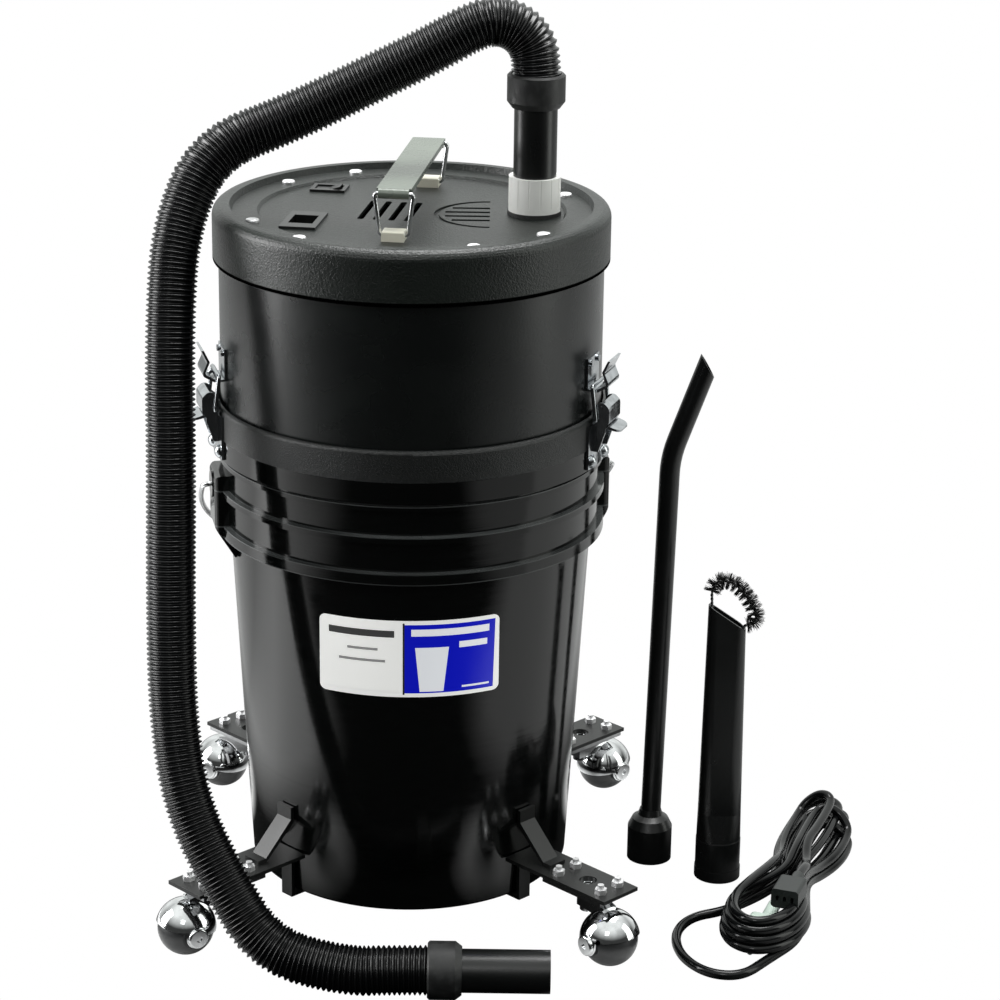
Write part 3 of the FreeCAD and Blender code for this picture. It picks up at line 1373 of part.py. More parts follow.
# ---------------------------------------------------------------- wand and crevice tool
def wand():
    """Thin bent tube with a bell socket at its foot and a slanted tip."""
    x, y = WAND_AT
    foot = V(x, y, SOCKET_DEPTH)
    elbow = V(WAND_ELBOW[0], y, WAND_ELBOW[1])
    tip = V(WAND_TIP[0], y, WAND_TIP[1])
    along = tip - elbow
    along.normalize()
    long_tip = tip + along * WAND_R
    tube, path, radii = wire_form([foot, elbow, long_tip], WAND_R, WAND_BEND_R)
    inside_socket = foot - (elbow - foot) * 0.02
    bore, path, radii = wire_form([inside_socket, elbow, long_tip], WAND_BORE_R, WAND_BEND_R)
    bell = [(0.0, 0.0), (WAND_BELL_R, 0.0), (WAND_BELL_R, WAND_BELL_H)]
    bell.append((WAND_BELL_R - 3.5, WAND_BELL_H + 7.0))
    bell += [(WAND_R + 2.0, WAND_NECK_Z - 2.0), (WAND_R + 0.6, WAND_NECK_Z + 3.0), (0.0, WAND_NECK_Z + 3.0)]
    body = fused([moved(revolved(bell), x, y), tube])
    body = body.cut(bore)
    body = body.cut(disc(SOCKET_BORE_R, -1.0, SOCKET_DEPTH, (x, y)))
    reach = 5 * WAND_R
    slant = Part.makeBox(2 * reach, 2 * reach, 2 * reach, V(-reach, -reach, 0))
    slant.rotate(V(0, 0, 0), SIDE, WAND_SLANT)
    slant.translate(tip)
    return body.cut(slant)


def rounded_slab(width, depth, z):
    """Stadium-shaped wire, wide along X, at a height."""
    half = width / 2.0
    r = depth / 2.0
    straight = half - r
    edges = [
        Part.LineSegment(V(-straight, -r, z), V(straight, -r, z)).toShape(),
        Part.Arc(V(straight, -r, z), V(half, 0, z), V(straight, r, z)).toShape(),
        Part.LineSegment(V(straight, r, z), V(-straight, r, z)).toShape(),
        Part.Arc(V(-straight, r, z), V(-half, 0, z), V(-straight, -r, z)).toShape(),
    ]
    return Part.Wire(edges)


def crevice_tool():
    """Round socket that turns into a flat tapered spout with a slanted mouth."""
    wall = CREVICE_WALL
    rim = disc(CREVICE_R, 0.0, CREVICE_RIM_H)
    socket = disc(CREVICE_R - CREVICE_RIM_T, 0.0, CREVICE_SOCKET_H)
    width = 2 * (CREVICE_R - CREVICE_RIM_T) - 0.4
    top = CREVICE_TOP_Z
    sections = [
        rounded_slab(width, width - 3.0, CREVICE_SOCKET_H - 4.0),
        rounded_slab(width - 1.0, CREVICE_BODY_T, CREVICE_STEP_Z),
        rounded_slab(CREVICE_MOUTH_W, CREVICE_MOUTH_T, top),
    ]
    spout = Part.makeLoft(sections, True, True)
    body = fused([rim, socket, spout])
    body = body.cut(disc(SOCKET_BORE_R, -1.0, SOCKET_DEPTH))
    cavity = [
        rounded_slab(width - 2 * wall - 2.0, width - 3.0 - 2 * wall - 2.0, SOCKET_DEPTH - 1.0),
        rounded_slab(width - 1.0 - 2 * wall, CREVICE_BODY_T - 2 * wall, CREVICE_STEP_Z),
        rounded_slab(CREVICE_MOUTH_W - 2 * wall, CREVICE_MOUTH_T - 2 * wall, top + 1.0),
    ]
    body = body.cut(Part.makeLoft(cavity, True, True))
    half = CREVICE_R + 2.0
    above = top + 20.0
    slant = [(-CREVICE_MOUTH_W / 2 - 3.0, top + 3.0), (half, top - CREVICE_MOUTH_DROP - 3.0)]
    mouth = profile(slant + [(half, above), (-half, above)], -half, half)
    return moved(body.cut(mouth), CREVICE_AT[0], CREVICE_AT[1])


def brush():
    """Twisted-wire brush bent in an arch: wire core with a bristle body round its middle."""
    x, y = CREVICE_AT
    points = [V(x + px, y, pz) for px, pz in BRUSH_ROUTE]
    core, path, radii = wire_form(points, BRUSH_WIRE_R)
    bristle_points = points[2:-2]
    bristles, path, radii = wire_form(bristle_points, BRUSH_R)
    return fused([core, bristles])


# ---------------------------------------------------------------- power cord
def oval(centre, radii, low, high):
    """Upright elliptic block, long axis along the hank."""
    direction = math.degrees(math.atan2(HANK_HIGH[1] - HANK_LOW[1], HANK_HIGH[0] - HANK_LOW[0]))
    short, long_r = radii
    ellipse = Part.Ellipse(V(long_r, 0, low), V(0, short, low), V(0, 0, low)).toShape()
    body = Part.Face(Part.Wire([ellipse])).extrude(V(0, 0, high - low))
    return moved(turned(body, direction), centre[0], centre[1])


def cord_hank():
    """Closed outer shape of the tied hank: two lobes and the waist."""
    low = 0.2
    low_lobe = oval(HANK_LOW, HANK_LOW_R, low, HANK_H)
    high_lobe = oval(HANK_HIGH, HANK_HIGH_R, low, HANK_H)
    waist = oval(HANK_WAIST, WAIST_R, low, HANK_H + 2.0)
    eye = oval(HANK_EYE, HANK_EYE_R, low - 1.0, HANK_H + 1.0)
    return fused([low_lobe, high_lobe, waist]).cut(eye)


def cord_loop():
    """Loose turn of the cord that lies beside the hank."""
    points = [V(*p) for p in LOOP_ROUTE]
    body, path, radii = wire_form(points, CORD_R)
    body = body.cut(cord_hank())
    print("cord loop length", round(path.Length, 1), "radii", [round(r, 1) for r in radii])
    return body


def cord_plug():
    """Moulded mains plug with two flat blades and a round earth pin, lying inside the hank's eye."""
    half = PLUG_L / 2
    body = block((-half, half), (-PLUG_W / 2, PLUG_W / 2), (PLUG_Z, PLUG_Z + PLUG_H))
    body = body.makeFillet(PLUG_ROUND, [edge for edge in body.Edges if edge.BoundBox.XLength > PLUG_L - 1])
    middle = PLUG_Z + PLUG_H / 2
    sleeve = rod(V(-half - PLUG_SLEEVE_L, 0, middle), V(-half, 0, middle), SLEEVE_R)
    blades = [
        block((half - 1, half + PIN_L), (s * 6.35 - 0.75, s * 6.35 + 0.75), (middle - 1.0, middle + 5.0))
        for s in (-1, 1)
    ]
    earth = rod(V(half - 1, 0, middle - 4.5), V(half + PIN_L, 0, middle - 4.5), 2.4)
    return moved(turned(fused([body, sleeve] + blades + [earth]), PLUG_TURN), PLUG_AT[0], PLUG_AT[1])


def cord_connector():
    """Moulded appliance connector at the cord's other end."""
    low = HANK_H
    half = CONNECTOR_L / 2
    body = block((-half, half), (-CONNECTOR_W / 2, CONNECTOR_W / 2), (low, low + CONNECTOR_H))
    long_edges = [edge for edge in body.Edges if edge.BoundBox.XLength > CONNECTOR_L - 1]
    body = body.makeFillet(CONNECTOR_ROUND, long_edges)
    middle = low + CONNECTOR_H / 2
    sleeve = rod(V(-half - SLEEVE_L, 0, middle), V(-half, 0, middle), SLEEVE_R)
    body = fused([body, sleeve])
    for y in (-6.0, 0.0, 6.0):
        socket = block((half - SOCKET_SLOT, half + 1), (y - 1.2, y + 1.2), (middle - 2.2, middle + 2.2))
        body = body.cut(socket)
    return moved(turned(body, CONNECTOR_TURN), CONNECTOR_AT[0], CONNECTOR_AT[1])


# ---------------------------------------------------------------- everything
def main():
    os.makedirs("parts", exist_ok=True)
    make_dolly()
    make_casters()
    export("pail", [pail()])
    export("pail_label", [label()])
    export("pail_bail", [pail_bail()])
    export("pail_adapter", [adapter()])
    export("pail_gasket", [gasket(RIM_TOP_Z)])
    export("head_gasket", [gasket(PLATE_TOP_Z)])
    export("filter_media", [filter_media()])
    export("filter_caps", filter_caps())
    export("head_drum", [drum()])
    export("head_lid", [lid()])
    export("lid_screws", lid_screws())
    export("lid_nuts", lid_nuts())
    export("motor_plate", [motor_plate()])
    export("fan_housing", [fan_housing()])
    export("motor_frame", [motor_frame()])
    export("motor_rotor", [rotor()])
    export("fan_impeller", [impeller()])
    export("inlet_collar", [inlet_collar()])
    export("inlet_gasket", [inlet_gasket()])
    export("inlet_pipe", [inlet_pipe()])
    export("power_inlet", [power_inlet()])
    export("switch_housing", [switch_housing()])
    export("switch_rocker", [switch_rocker()])
    export("handle_clips", [place_on_lid(handle_clip(), side) for side in (-1, 1)])
    export("handle_loop_front", [place_on_lid(handle_loop(), -1)])
    export("handle_loop_rear", [place_on_lid(handle_loop(), 1)])
    export("handle_grip", [handle_grip()])
    make_latches()
    export("hose_tube", [hose_tube()])
    export("hose_cuffs", hose_cuffs())
    export("hose", [hose()])
    export("hose_nozzle", [hose_nozzle()])
    export("wand", [wand()])
    export("crevice_tool", [crevice_tool()])
    export("brush", [brush()])
    export("cord_hank", [cord_hank()])
    export("cord_loop", [cord_loop()])
    export("cord_plug", [cord_plug()])
    export("cord_connector", [cord_connector()])


main()
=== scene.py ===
"""Looks for the shop vacuum: materials, corrugated hose, power cord, brush, camera and studio.

Everything is in metres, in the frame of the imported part: +Z up, -Y to the front.
"""

import math
import random

import bpy
import numpy as np
from mathutils import Matrix, Vector


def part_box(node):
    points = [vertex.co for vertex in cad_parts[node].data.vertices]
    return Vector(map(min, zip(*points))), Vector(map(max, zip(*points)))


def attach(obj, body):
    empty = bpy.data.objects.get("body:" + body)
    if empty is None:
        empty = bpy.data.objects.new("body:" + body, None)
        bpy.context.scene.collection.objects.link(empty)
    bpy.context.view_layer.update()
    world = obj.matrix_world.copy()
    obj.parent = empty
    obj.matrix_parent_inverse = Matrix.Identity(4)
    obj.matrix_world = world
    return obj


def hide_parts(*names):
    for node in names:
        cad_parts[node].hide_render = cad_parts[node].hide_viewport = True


# the label on the pail: its limits round the pail in degrees and in height, and its printed
# patches as shares of its width and height
LABEL_FROM = -117.5
LABEL_TO = -59.5
LABEL_HEIGHTS = (0.209, 0.2725)
LABEL_BLUE = (0.475, 0.975, 0.05, 0.95)
LABEL_WHITE_BARS = ((0.51, 0.94, 0.80, 0.89), (0.77, 0.93, 0.63, 0.71), (0.79, 0.95, 0.10, 0.125))
LABEL_DARK_BARS = (
    (0.02, (0.464, 0.475, 0.03, 0.97)),
    (0.05, (0.055, 0.42, 0.78, 0.87)),
    (0.25, (0.16, 0.33, 0.60, 0.635)),
    (0.25, (0.11, 0.37, 0.45, 0.485)),
    (0.6, (0.03, 0.45, 0.06, 0.068)),
)
LABEL_TUB_MIDDLE = 0.622
LABEL_TUB_FOOT = 0.062      # half width of the tub shape at its foot
LABEL_TUB_FLARE = 0.045     # and by how much it widens over the label's height
LABEL_TUB_UP = (0.36, 0.29)     # its middle height and its half height
LABEL_WHITE = (0.9, 0.9, 0.88)
LABEL_INK = (0.004, 0.008, 0.5)
LABEL_BAR_WHITE = (0.85, 0.86, 0.9)
LABEL_TUB_WHITE = (0.82, 0.84, 0.88)
LABEL_PAINTED_GLOW = 0.42       # the label glows with its own colour, painted light that makes it brighter than a plain white


# ---------------------------------------------------------------- node helpers
def new_material(name, colour, rough, metal=0.0, coat=0.0, sheen=0.0):
    """Material with a Principled shader. Returns its tree and shader too."""
    material = bpy.data.materials.new(name)
    material.use_nodes = True
    tree = material.node_tree
    shader = tree.nodes["Principled BSDF"]
    shader.inputs["Base Color"].default_value = (*colour, 1.0)
    shader.inputs["Roughness"].default_value = rough
    shader.inputs["Metallic"].default_value = metal
    shader.inputs["Coat Weight"].default_value = coat
    shader.inputs["Sheen Weight"].default_value = sheen
    return material, tree, shader


def add_node(tree, kind, **sockets):
    """New node with some of its sockets set."""
    node = tree.nodes.new(kind)
    for name, value in sockets.items():
        node.inputs[name.replace("_", " ")].default_value = value
    return node


def place(tree):
    """Position on the part: its object coordinates."""
    return tree.nodes.new("ShaderNodeTexCoord").outputs["Object"]


def scaled(tree, vector, scale):
    """A vector with its axes scaled."""
    node = tree.nodes.new("ShaderNodeMapping")
    node.inputs["Scale"].default_value = scale
    tree.links.new(vector, node.inputs["Vector"])
    return node.outputs["Vector"]


def noise(tree, vector, scale, detail=3.0, rough=0.5):
    """Smooth random value over a vector."""
    node = add_node(tree, "ShaderNodeTexNoise", Scale=scale, Detail=detail, Roughness=rough)
    tree.links.new(vector, node.inputs["Vector"])
    return node.outputs["Fac"]


def axes(tree, vector):
    """The X, Y and Z sockets of a vector."""
    node = tree.nodes.new("ShaderNodeSeparateXYZ")
    tree.links.new(vector, node.inputs["Vector"])
    return node.outputs["X"], node.outputs["Y"], node.outputs["Z"]


def span(tree, value, low, high, to_low=0.0, to_high=1.0):
    """Value taken from low..high to to_low..to_high, held at the ends."""
    node = tree.nodes.new("ShaderNodeMapRange")
    node.inputs["From Min"].default_value = low
    node.inputs["From Max"].default_value = high
    node.inputs["To Min"].default_value = to_low
    node.inputs["To Max"].default_value = to_high
    tree.links.new(value, node.inputs["Value"])
    return node.outputs["Result"]


def calc(tree, operation, *values):
    """Result of a maths node on numbers and sockets."""
    node = tree.nodes.new("ShaderNodeMath")
    node.operation = operation
    for socket, value in zip(node.inputs, values):
        if isinstance(value, (int, float)):
            socket.default_value = value
        else:
            tree.links.new(value, socket)
    return node.outputs["Value"]


def blended(tree, factor, first, second):
    """Mix of two colours, each a tuple or a socket."""
    node = tree.nodes.new("ShaderNodeMix")
    node.data_type = "RGBA"
    tree.links.new(factor, node.inputs[0])
    for socket, value in ((node.inputs[6], first), (node.inputs[7], second)):
        if isinstance(value, tuple):
            socket.default_value = (*value, 1.0)
        else:
            tree.links.new(value, socket)
    return node.outputs[2]


def bumped(tree, shader, height, depth, strength=1.0):
    """Relief of a depth in metres on the shader."""
    node = tree.nodes.new("ShaderNodeBump")
    node.inputs["Strength"].default_value = strength
    node.inputs["Distance"].default_value = depth
    tree.links.new(height, node.inputs["Height"])
    tree.links.new(node.outputs["Normal"], shader.inputs["Normal"])


def rough_from(tree, shader, factor, low, high):
    """Roughness between two values, by a noise."""
    tree.links.new(span(tree, factor, 0.3, 0.7, low, high), shader.inputs["Roughness"])


def colour_from(tree, shader, factor, low, high, first, second):
    """Colour between two, as a noise goes from low to high. Returns its socket."""
    shade = blended(tree, span(tree, factor, low, high), first, second)
    tree.links.new(shade, shader.inputs["Base Color"])
    return shade


def tinted(colour, share):
    """A colour made darker or lighter by a share, and no lighter than white."""
    return tuple(min(share * value, 1.0) for value in colour)


# ---------------------------------------------------------------- materials
PAIL_BLACK = (0.0015, 0.0018, 0.0017)
PAIL_ROUGH = 0.1
BAND_SHADE_HEIGHT = 0.3865     # the band is pebbled above this height; below it the band takes the pail's darker glossy black, as painted shade
BAND_SHADE_BLUR = 0.0003
RIM_HIGHLIGHT_HEIGHTS = (0.3052, 0.3138, 0.3428, 0.3668)    # heights of the edges of the pail's rings, where thin grey lines are painted as highlights
RIM_HIGHLIGHT_HALF = (0.0003, 0.0009)        # half width of a painted highlight line on an edge: full, and where it ends
RIM_HIGHLIGHT_GREY = (0.07, 0.075, 0.075)
PEBBLE_DEPTH = 0.0003
PEBBLE_ROUNDNESS = 0.6
PEBBLE_SHARE = 0.9      # how much of the relief the pebbles make, and the fine grain on them
GRAIN_SHARE = 0.35
GRAIN_PER_PEBBLE = 4.0      # how much finer than the pebbles the grain is, and the drift of their pattern
DRIFT_PER_PEBBLE = 0.6
PEBBLE_DRIFT = (0.004, 0.004, 0.004)    # and how far that drift goes
FLOW_RINGS = (4.0, 4.0, 260.0)      # how finely the pail's flow rings and scuffs vary along x, y and z
SCUFFS = (60.0, 60.0, 400.0)
RING_SHARE = 0.1        # how much of the pail's relief the rings make, beside its broad waves
DUST_GREY = 0.004       # what dust adds to a rubber's colour
# painted shade in the gap between drum and lid, as a black band: how far it goes below and above the foot of
# the lid's skirt
PAINTED_SHADE_DOWN = 0.002
PAINTED_SHADE_UP = 0.0025
PAINTED_SHADE_BLUR = 0.0004
PAINTED_SHADE_BLACK = (0.0004, 0.0004, 0.0004)
PAINTED_SHADE_ROUGH = 0.8


def moulded_plastic(name, colour, rough, grain=900.0, depth=0.00004, spread=0.03, gloss=0.5):
    """Moulded plastic: faint grain of a depth, gloss uneven by the spread, and slight colour change."""
    material, tree, shader = new_material(name, colour, rough)
    shader.inputs["Specular IOR Level"].default_value = gloss
    where = place(tree)
    patches = noise(tree, where, scale=22.0, detail=3.0)
    rough_from(tree, shader, patches, max(rough - spread, 0.03), rough + spread)
    colour_from(tree, shader, patches, 0.35, 0.65, tinted(colour, 0.9), tinted(colour, 1.08))
    bumped(tree, shader, noise(tree, where, scale=grain, detail=2.0), depth)
    return material


def pebbled_plastic(name, colour, rough, pebble):
    """Vacuum-formed sheet with a texture of so many pebbles to the metre."""
    material, tree, shader = new_material(name, colour, rough)
    where = place(tree)
    cells = add_node(tree, "ShaderNodeTexVoronoi", Scale=pebble, Randomness=1.0)
    cells.feature = "SMOOTH_F1"
    cells.inputs["Smoothness"].default_value = PEBBLE_ROUNDNESS
    warped = tree.nodes.new("ShaderNodeVectorMath")
    warped.operation = "MULTIPLY_ADD"
    drift = add_node(tree, "ShaderNodeTexNoise", Scale=pebble * DRIFT_PER_PEBBLE, Detail=2.0)
    tree.links.new(where, drift.inputs["Vector"])
    tree.links.new(drift.outputs["Color"], warped.inputs[0])
    warped.inputs[1].default_value = PEBBLE_DRIFT
    tree.links.new(where, warped.inputs[2])
    tree.links.new(warped.outputs["Vector"], cells.inputs["Vector"])
    fine = noise(tree, where, scale=pebble * GRAIN_PER_PEBBLE, detail=3.0)
    pebbles = calc(tree, "MULTIPLY", cells.outputs["Distance"], PEBBLE_SHARE)
    relief = calc(tree, "ADD", pebbles, calc(tree, "MULTIPLY", fine, GRAIN_SHARE))
    bumped(tree, shader, relief, PEBBLE_DEPTH)
    patches = noise(tree, where, scale=25.0, detail=3.0)
    colour_from(tree, shader, patches, 0.35, 0.65, tinted(colour, 0.8), tinted(colour, 1.25))
    rough_from(tree, shader, fine, rough - 0.08, rough + 0.1)
    return material


def span_above(material, height, blur):
    """1 above a height and 0 below it, or the other way round if the blur is negative."""
    tree = material.node_tree
    return span(tree, axes(tree, place(tree))[2], height - blur, height + blur)


def change_at(material, kept, colour, rough, gloss):
    """Where kept is 0 the material takes another colour, roughness and gloss, and loses its relief."""
    tree = material.node_tree
    shader = tree.nodes["Principled BSDF"]
    base = shader.inputs["Base Color"]
    tree.links.new(blended(tree, kept, colour, base.links[0].from_socket), base)
    roughness = shader.inputs["Roughness"]
    held = calc(tree, "MULTIPLY", kept, calc(tree, "SUBTRACT", roughness.links[0].from_socket, rough))
    tree.links.new(calc(tree, "ADD", held, rough), roughness)
    specular = shader.inputs["Specular IOR Level"]
    if gloss != specular.default_value:
        tree.links.new(span(tree, kept, 0.0, 1.0, gloss, specular.default_value), specular)
    for bump in [node for node in tree.nodes if node.bl_idname == "ShaderNodeBump"]:
        tree.links.new(kept, bump.inputs["Strength"])


def change_below(material, height, blur, colour, rough, gloss=0.5):
    """Below a height the material changes to another colour and gloss, over the blur's width each way."""
    change_at(material, span_above(material, height, blur), colour, rough, gloss)


def change_above(material, height, blur, colour, rough, gloss=0.5):
    """Above a height the material changes in the same way."""
    change_at(material, span_above(material, height, -blur), colour, rough, gloss)


def pail_plastic(name, colour):
    """Glossy moulded pail: faint flow rings round it, fine scuffs, and painted highlights on the edges of
    the rim's rings.
    """
    material, tree, shader = new_material(name, colour, PAIL_ROUGH)
    where = place(tree)
    rings = noise(tree, scaled(tree, where, FLOW_RINGS), scale=1.0, detail=4.0, rough=0.6)
    waves = noise(tree, where, scale=9.0, detail=2.0)
    relief = calc(tree, "ADD", calc(tree, "MULTIPLY", rings, RING_SHARE), waves)
    bumped(tree, shader, relief, depth=0.0012, strength=0.35)
    scuffs = noise(tree, scaled(tree, where, SCUFFS), scale=1.0, detail=5.0, rough=0.7)
    rough_from(tree, shader, scuffs, 0.07, 0.16)
    shade = colour_from(tree, shader, scuffs, 0.4, 0.75, colour, tinted(colour, 2.0))
    up = axes(tree, where)[2]
    patchy = span(tree, waves, 0.35, 0.6, 0.35, 1.0)
    # painted highlights: a thin grey line along each edge of the rim's rings, in patches
    for height in RIM_HIGHLIGHT_HEIGHTS:
        off = calc(tree, "ABSOLUTE", calc(tree, "SUBTRACT", up, height))
        painted_highlight = calc(tree, "MULTIPLY", span(tree, off, *RIM_HIGHLIGHT_HALF, 1.0, 0.0), patchy)
        shade = blended(tree, painted_highlight, shade, RIM_HIGHLIGHT_GREY)
    tree.links.new(shade, shader.inputs["Base Color"])
    return material


def metal(name, colour, rough, wave=0.00002):
    """Plated or bare metal with patchy gloss and a slight waviness."""
    material, tree, shader = new_material(name, colour, rough, metal=1.0)
    where = place(tree)
    stains = noise(tree, where, scale=120.0, detail=4.0)
    rough_from(tree, shader, stains, max(rough - 0.04, 0.02), rough + 0.08)
    colour_from(tree, shader, stains, 0.35, 0.7, colour, tinted(colour, 0.72))
    bumped(tree, shader, noise(tree, where, scale=60.0), wave)
    return material


def rubber(name, colour, rough=0.55):
    """Dull rubber with a film of dust."""
    material, tree, shader = new_material(name, colour, rough)
    where = place(tree)
    dust = noise(tree, where, scale=160.0, detail=5.0)
    dusty = tuple(1.8 * value + DUST_GREY for value in colour)
    colour_from(tree, shader, dust, 0.45, 0.75, colour, dusty)
    rough_from(tree, shader, dust, rough - 0.1, rough + 0.12)
    bumped(tree, shader, noise(tree, where, scale=700.0), depth=0.00005)
    return material


def pleated_cloth(name, colour):
    """Woven filter cloth. Its pleats are in the mesh."""
    material, tree, shader = new_material(name, colour, rough=0.9, sheen=0.3)
    where = place(tree)
    weave = noise(tree, where, scale=1800.0, detail=2.0)
    colour_from(tree, shader, weave, 0.0, 1.0, colour, tinted(colour, 0.8))
    bumped(tree, shader, weave, depth=0.0001)
    return material


def label_film(name):
    """Printed film: white half with plain bars, blue half with plain bars and a plain white tub shape."""
    material, tree, shader = new_material(name, LABEL_WHITE, rough=0.22, coat=0.4)
    # painted light: the label glows, with the print's own colour
    shader.inputs["Emission Strength"].default_value = LABEL_PAINTED_GLOW
    x, y, z = axes(tree, place(tree))
    turn = calc(tree, "ARCTAN2", y, x)
    across = span(tree, turn, math.radians(LABEL_FROM), math.radians(LABEL_TO))
    up = span(tree, z, *LABEL_HEIGHTS)

    def patch(left, right, low, high):
        """1 inside a box of the label and 0 outside it."""
        wide = calc(tree, "COMPARE", across, (left + right) / 2, (right - left) / 2)
        tall = calc(tree, "COMPARE", up, (low + high) / 2, (high - low) / 2)
        return calc(tree, "MULTIPLY", wide, tall)

    shade = blended(tree, patch(*LABEL_BLUE), LABEL_WHITE, LABEL_INK)
    for box in LABEL_WHITE_BARS:
        shade = blended(tree, patch(*box), shade, LABEL_BAR_WHITE)
    for grey, box in LABEL_DARK_BARS:
        shade = blended(tree, patch(*box), shade, (grey, grey, grey))
    half = calc(tree, "MULTIPLY_ADD", up, LABEL_TUB_FLARE, LABEL_TUB_FOOT)
    off_middle = calc(tree, "ABSOLUTE", calc(tree, "SUBTRACT", across, LABEL_TUB_MIDDLE))
    tub = calc(tree, "LESS_THAN", off_middle, half)
    tub = calc(tree, "MULTIPLY", tub, calc(tree, "COMPARE", up, *LABEL_TUB_UP))
    shade = blended(tree, tub, shade, LABEL_TUB_WHITE)
    tree.links.new(shade, shader.inputs["Base Color"])
    # the print's colour also glows, as painted light
    tree.links.new(shade, shader.inputs["Emission Color"])
    bumped(tree, shader, noise(tree, place(tree), scale=25.0, detail=2.0), depth=0.0006)
    return material


# ---------------------------------------------------------------- lines and tubes
NO_LINE_STARTS_ALONG = (0.3, 1.0, 0.2)      # any direction that no line here starts along
SAME_POINT = 1e-9


def nurbs(name, points):
    """Curve object with one open NURBS spline of the given control points."""
    curve = bpy.data.curves.new(name, "CURVE")
    curve.dimensions = "3D"
    curve.resolution_u = 10
    spline = curve.splines.new("NURBS")
    spline.points.add(len(points) - 1)
    for point, spot in zip(spline.points, points):
        point.co = (*spot, 1.0)
    spline.order_u = 3
    spline.use_endpoint_u = True
    return bpy.data.objects.new(name, curve)


def even_line(points, step):
    """Evenly spaced points along the NURBS spline of a route, and its length."""
    guide = nurbs("guide", points)
    bpy.context.scene.collection.objects.link(guide)
    mesh = bpy.data.meshes.new_from_object(guide)
    raw = np.array([vertex.co for vertex in mesh.vertices])
    bpy.data.objects.remove(guide)
    bpy.data.meshes.remove(mesh)
    run = np.concatenate([[0.0], np.cumsum(np.linalg.norm(np.diff(raw, axis=0), axis=1))])
    keep = np.concatenate([[True], np.diff(run) > SAME_POINT])
    count = max(int(round(run[-1] / step)), 2)
    at = np.linspace(0.0, run[-1], count + 1)
    columns = [np.interp(at, run[keep], raw[keep, axis]) for axis in range(3)]
    return np.stack(columns, axis=1), run[-1]


def side_frames(line):
    """Two unit vectors across the line at each point, carried along without twist."""
    tangents = np.gradient(line, axis=0)
    tangents /= np.linalg.norm(tangents, axis=1)[:, None]
    across = np.cross(tangents[0], NO_LINE_STARTS_ALONG)
    across /= np.linalg.norm(across)
    first = []
    for tangent in tangents:
        across = across - tangent * np.dot(across, tangent)
        across /= np.linalg.norm(across)
        first.append(across)
    first = np.array(first)
    return first, np.cross(tangents, first)


def new_mesh_object(name, vertices, faces, material, smooth=True):
    """Mesh object in the scene, with one material."""
    mesh = bpy.data.meshes.new(name)
    mesh.from_pydata(vertices, [], faces)
    mesh.polygons.foreach_set("use_smooth", [smooth] * len(mesh.polygons))
    mesh.update()
    piece = bpy.data.objects.new(name, mesh)
    bpy.context.scene.collection.objects.link(piece)
    piece.data.materials.append(material)
    return piece


def tube_mesh(line, radii, sides):
    """Vertices and faces of an open tube of changing radius round a line."""
    first, second = side_frames(line)
    turn = np.linspace(0.0, 2 * math.pi, sides, endpoint=False)
    ring = np.cos(turn)[None, :, None] * first[:, None, :]
    ring = ring + np.sin(turn)[None, :, None] * second[:, None, :]
    vertices = (line[:, None, :] + np.asarray(radii)[:, None, None] * ring).reshape(-1, 3)
    faces = []
    for row in range(len(line) - 1):
        base = row * sides
        for k in range(sides):
            following = (k + 1) % sides
            faces.append((base + k, base + following, base + sides + following, base + sides + k))
    return vertices.tolist(), faces


# ---------------------------------------------------------------- suction hose
# middle of the hose, from the inlet in the lid, down the left side, to its tool end on the floor in front
HOSE_ROUTE = (
    (0.094, 0.0, 0.650),
    (0.094, 0.0, 0.668),
    (0.091, 0.002, 0.6875),
    (0.075, 0.001, 0.702),
    (0.053, -0.002, 0.7035),
    (0.016, -0.0055, 0.6825),
    (-0.034, -0.0105, 0.658),
    (-0.0905, -0.0205, 0.6315),
    (-0.151, -0.0395, 0.6105),
    (-0.175, -0.0645, 0.557),
    (-0.1785, -0.0895, 0.484),
    (-0.1775, -0.108, 0.380),
    (-0.1785, -0.1245, 0.272),
    (-0.1765, -0.143, 0.191),
    (-0.165, -0.1665, 0.1295),
    (-0.1355, -0.1905, 0.077),
    (-0.102, -0.211, 0.030),
    (-0.0415, -0.2235, 0.0193),
    (-0.002, -0.2255, 0.0225),
    (0.035, -0.2255, 0.0225),
)
HOSE_R = 0.0190
RING_DEPTH = 0.0023
RING_PITCH = 0.0039
RING_STEPS = 10         # points along the hose per ring
RING_SHARPNESS = 2.2    # 1 is a round crest, more is narrower
HOSE_SIDES = 48


def build_hose(material):
    """Corrugated hose in place of the CAD's plain tube, along the same route."""
    line, length = even_line(HOSE_ROUTE, RING_PITCH / RING_STEPS)
    phase = (np.arange(len(line)) % RING_STEPS) / RING_STEPS
    crest = np.sin(math.pi * phase) ** RING_SHARPNESS
    radii = HOSE_R - RING_DEPTH * (1.0 - crest)
    vertices, faces = tube_mesh(line, radii, HOSE_SIDES)
    hose = new_mesh_object("hose_corrugated", vertices, faces, material)
    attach(hose, "suction_hose")
    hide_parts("hose")
    path = line[::RING_STEPS].tolist()
    if (len(line) - 1) % RING_STEPS:
        path.append(line[-1].tolist())


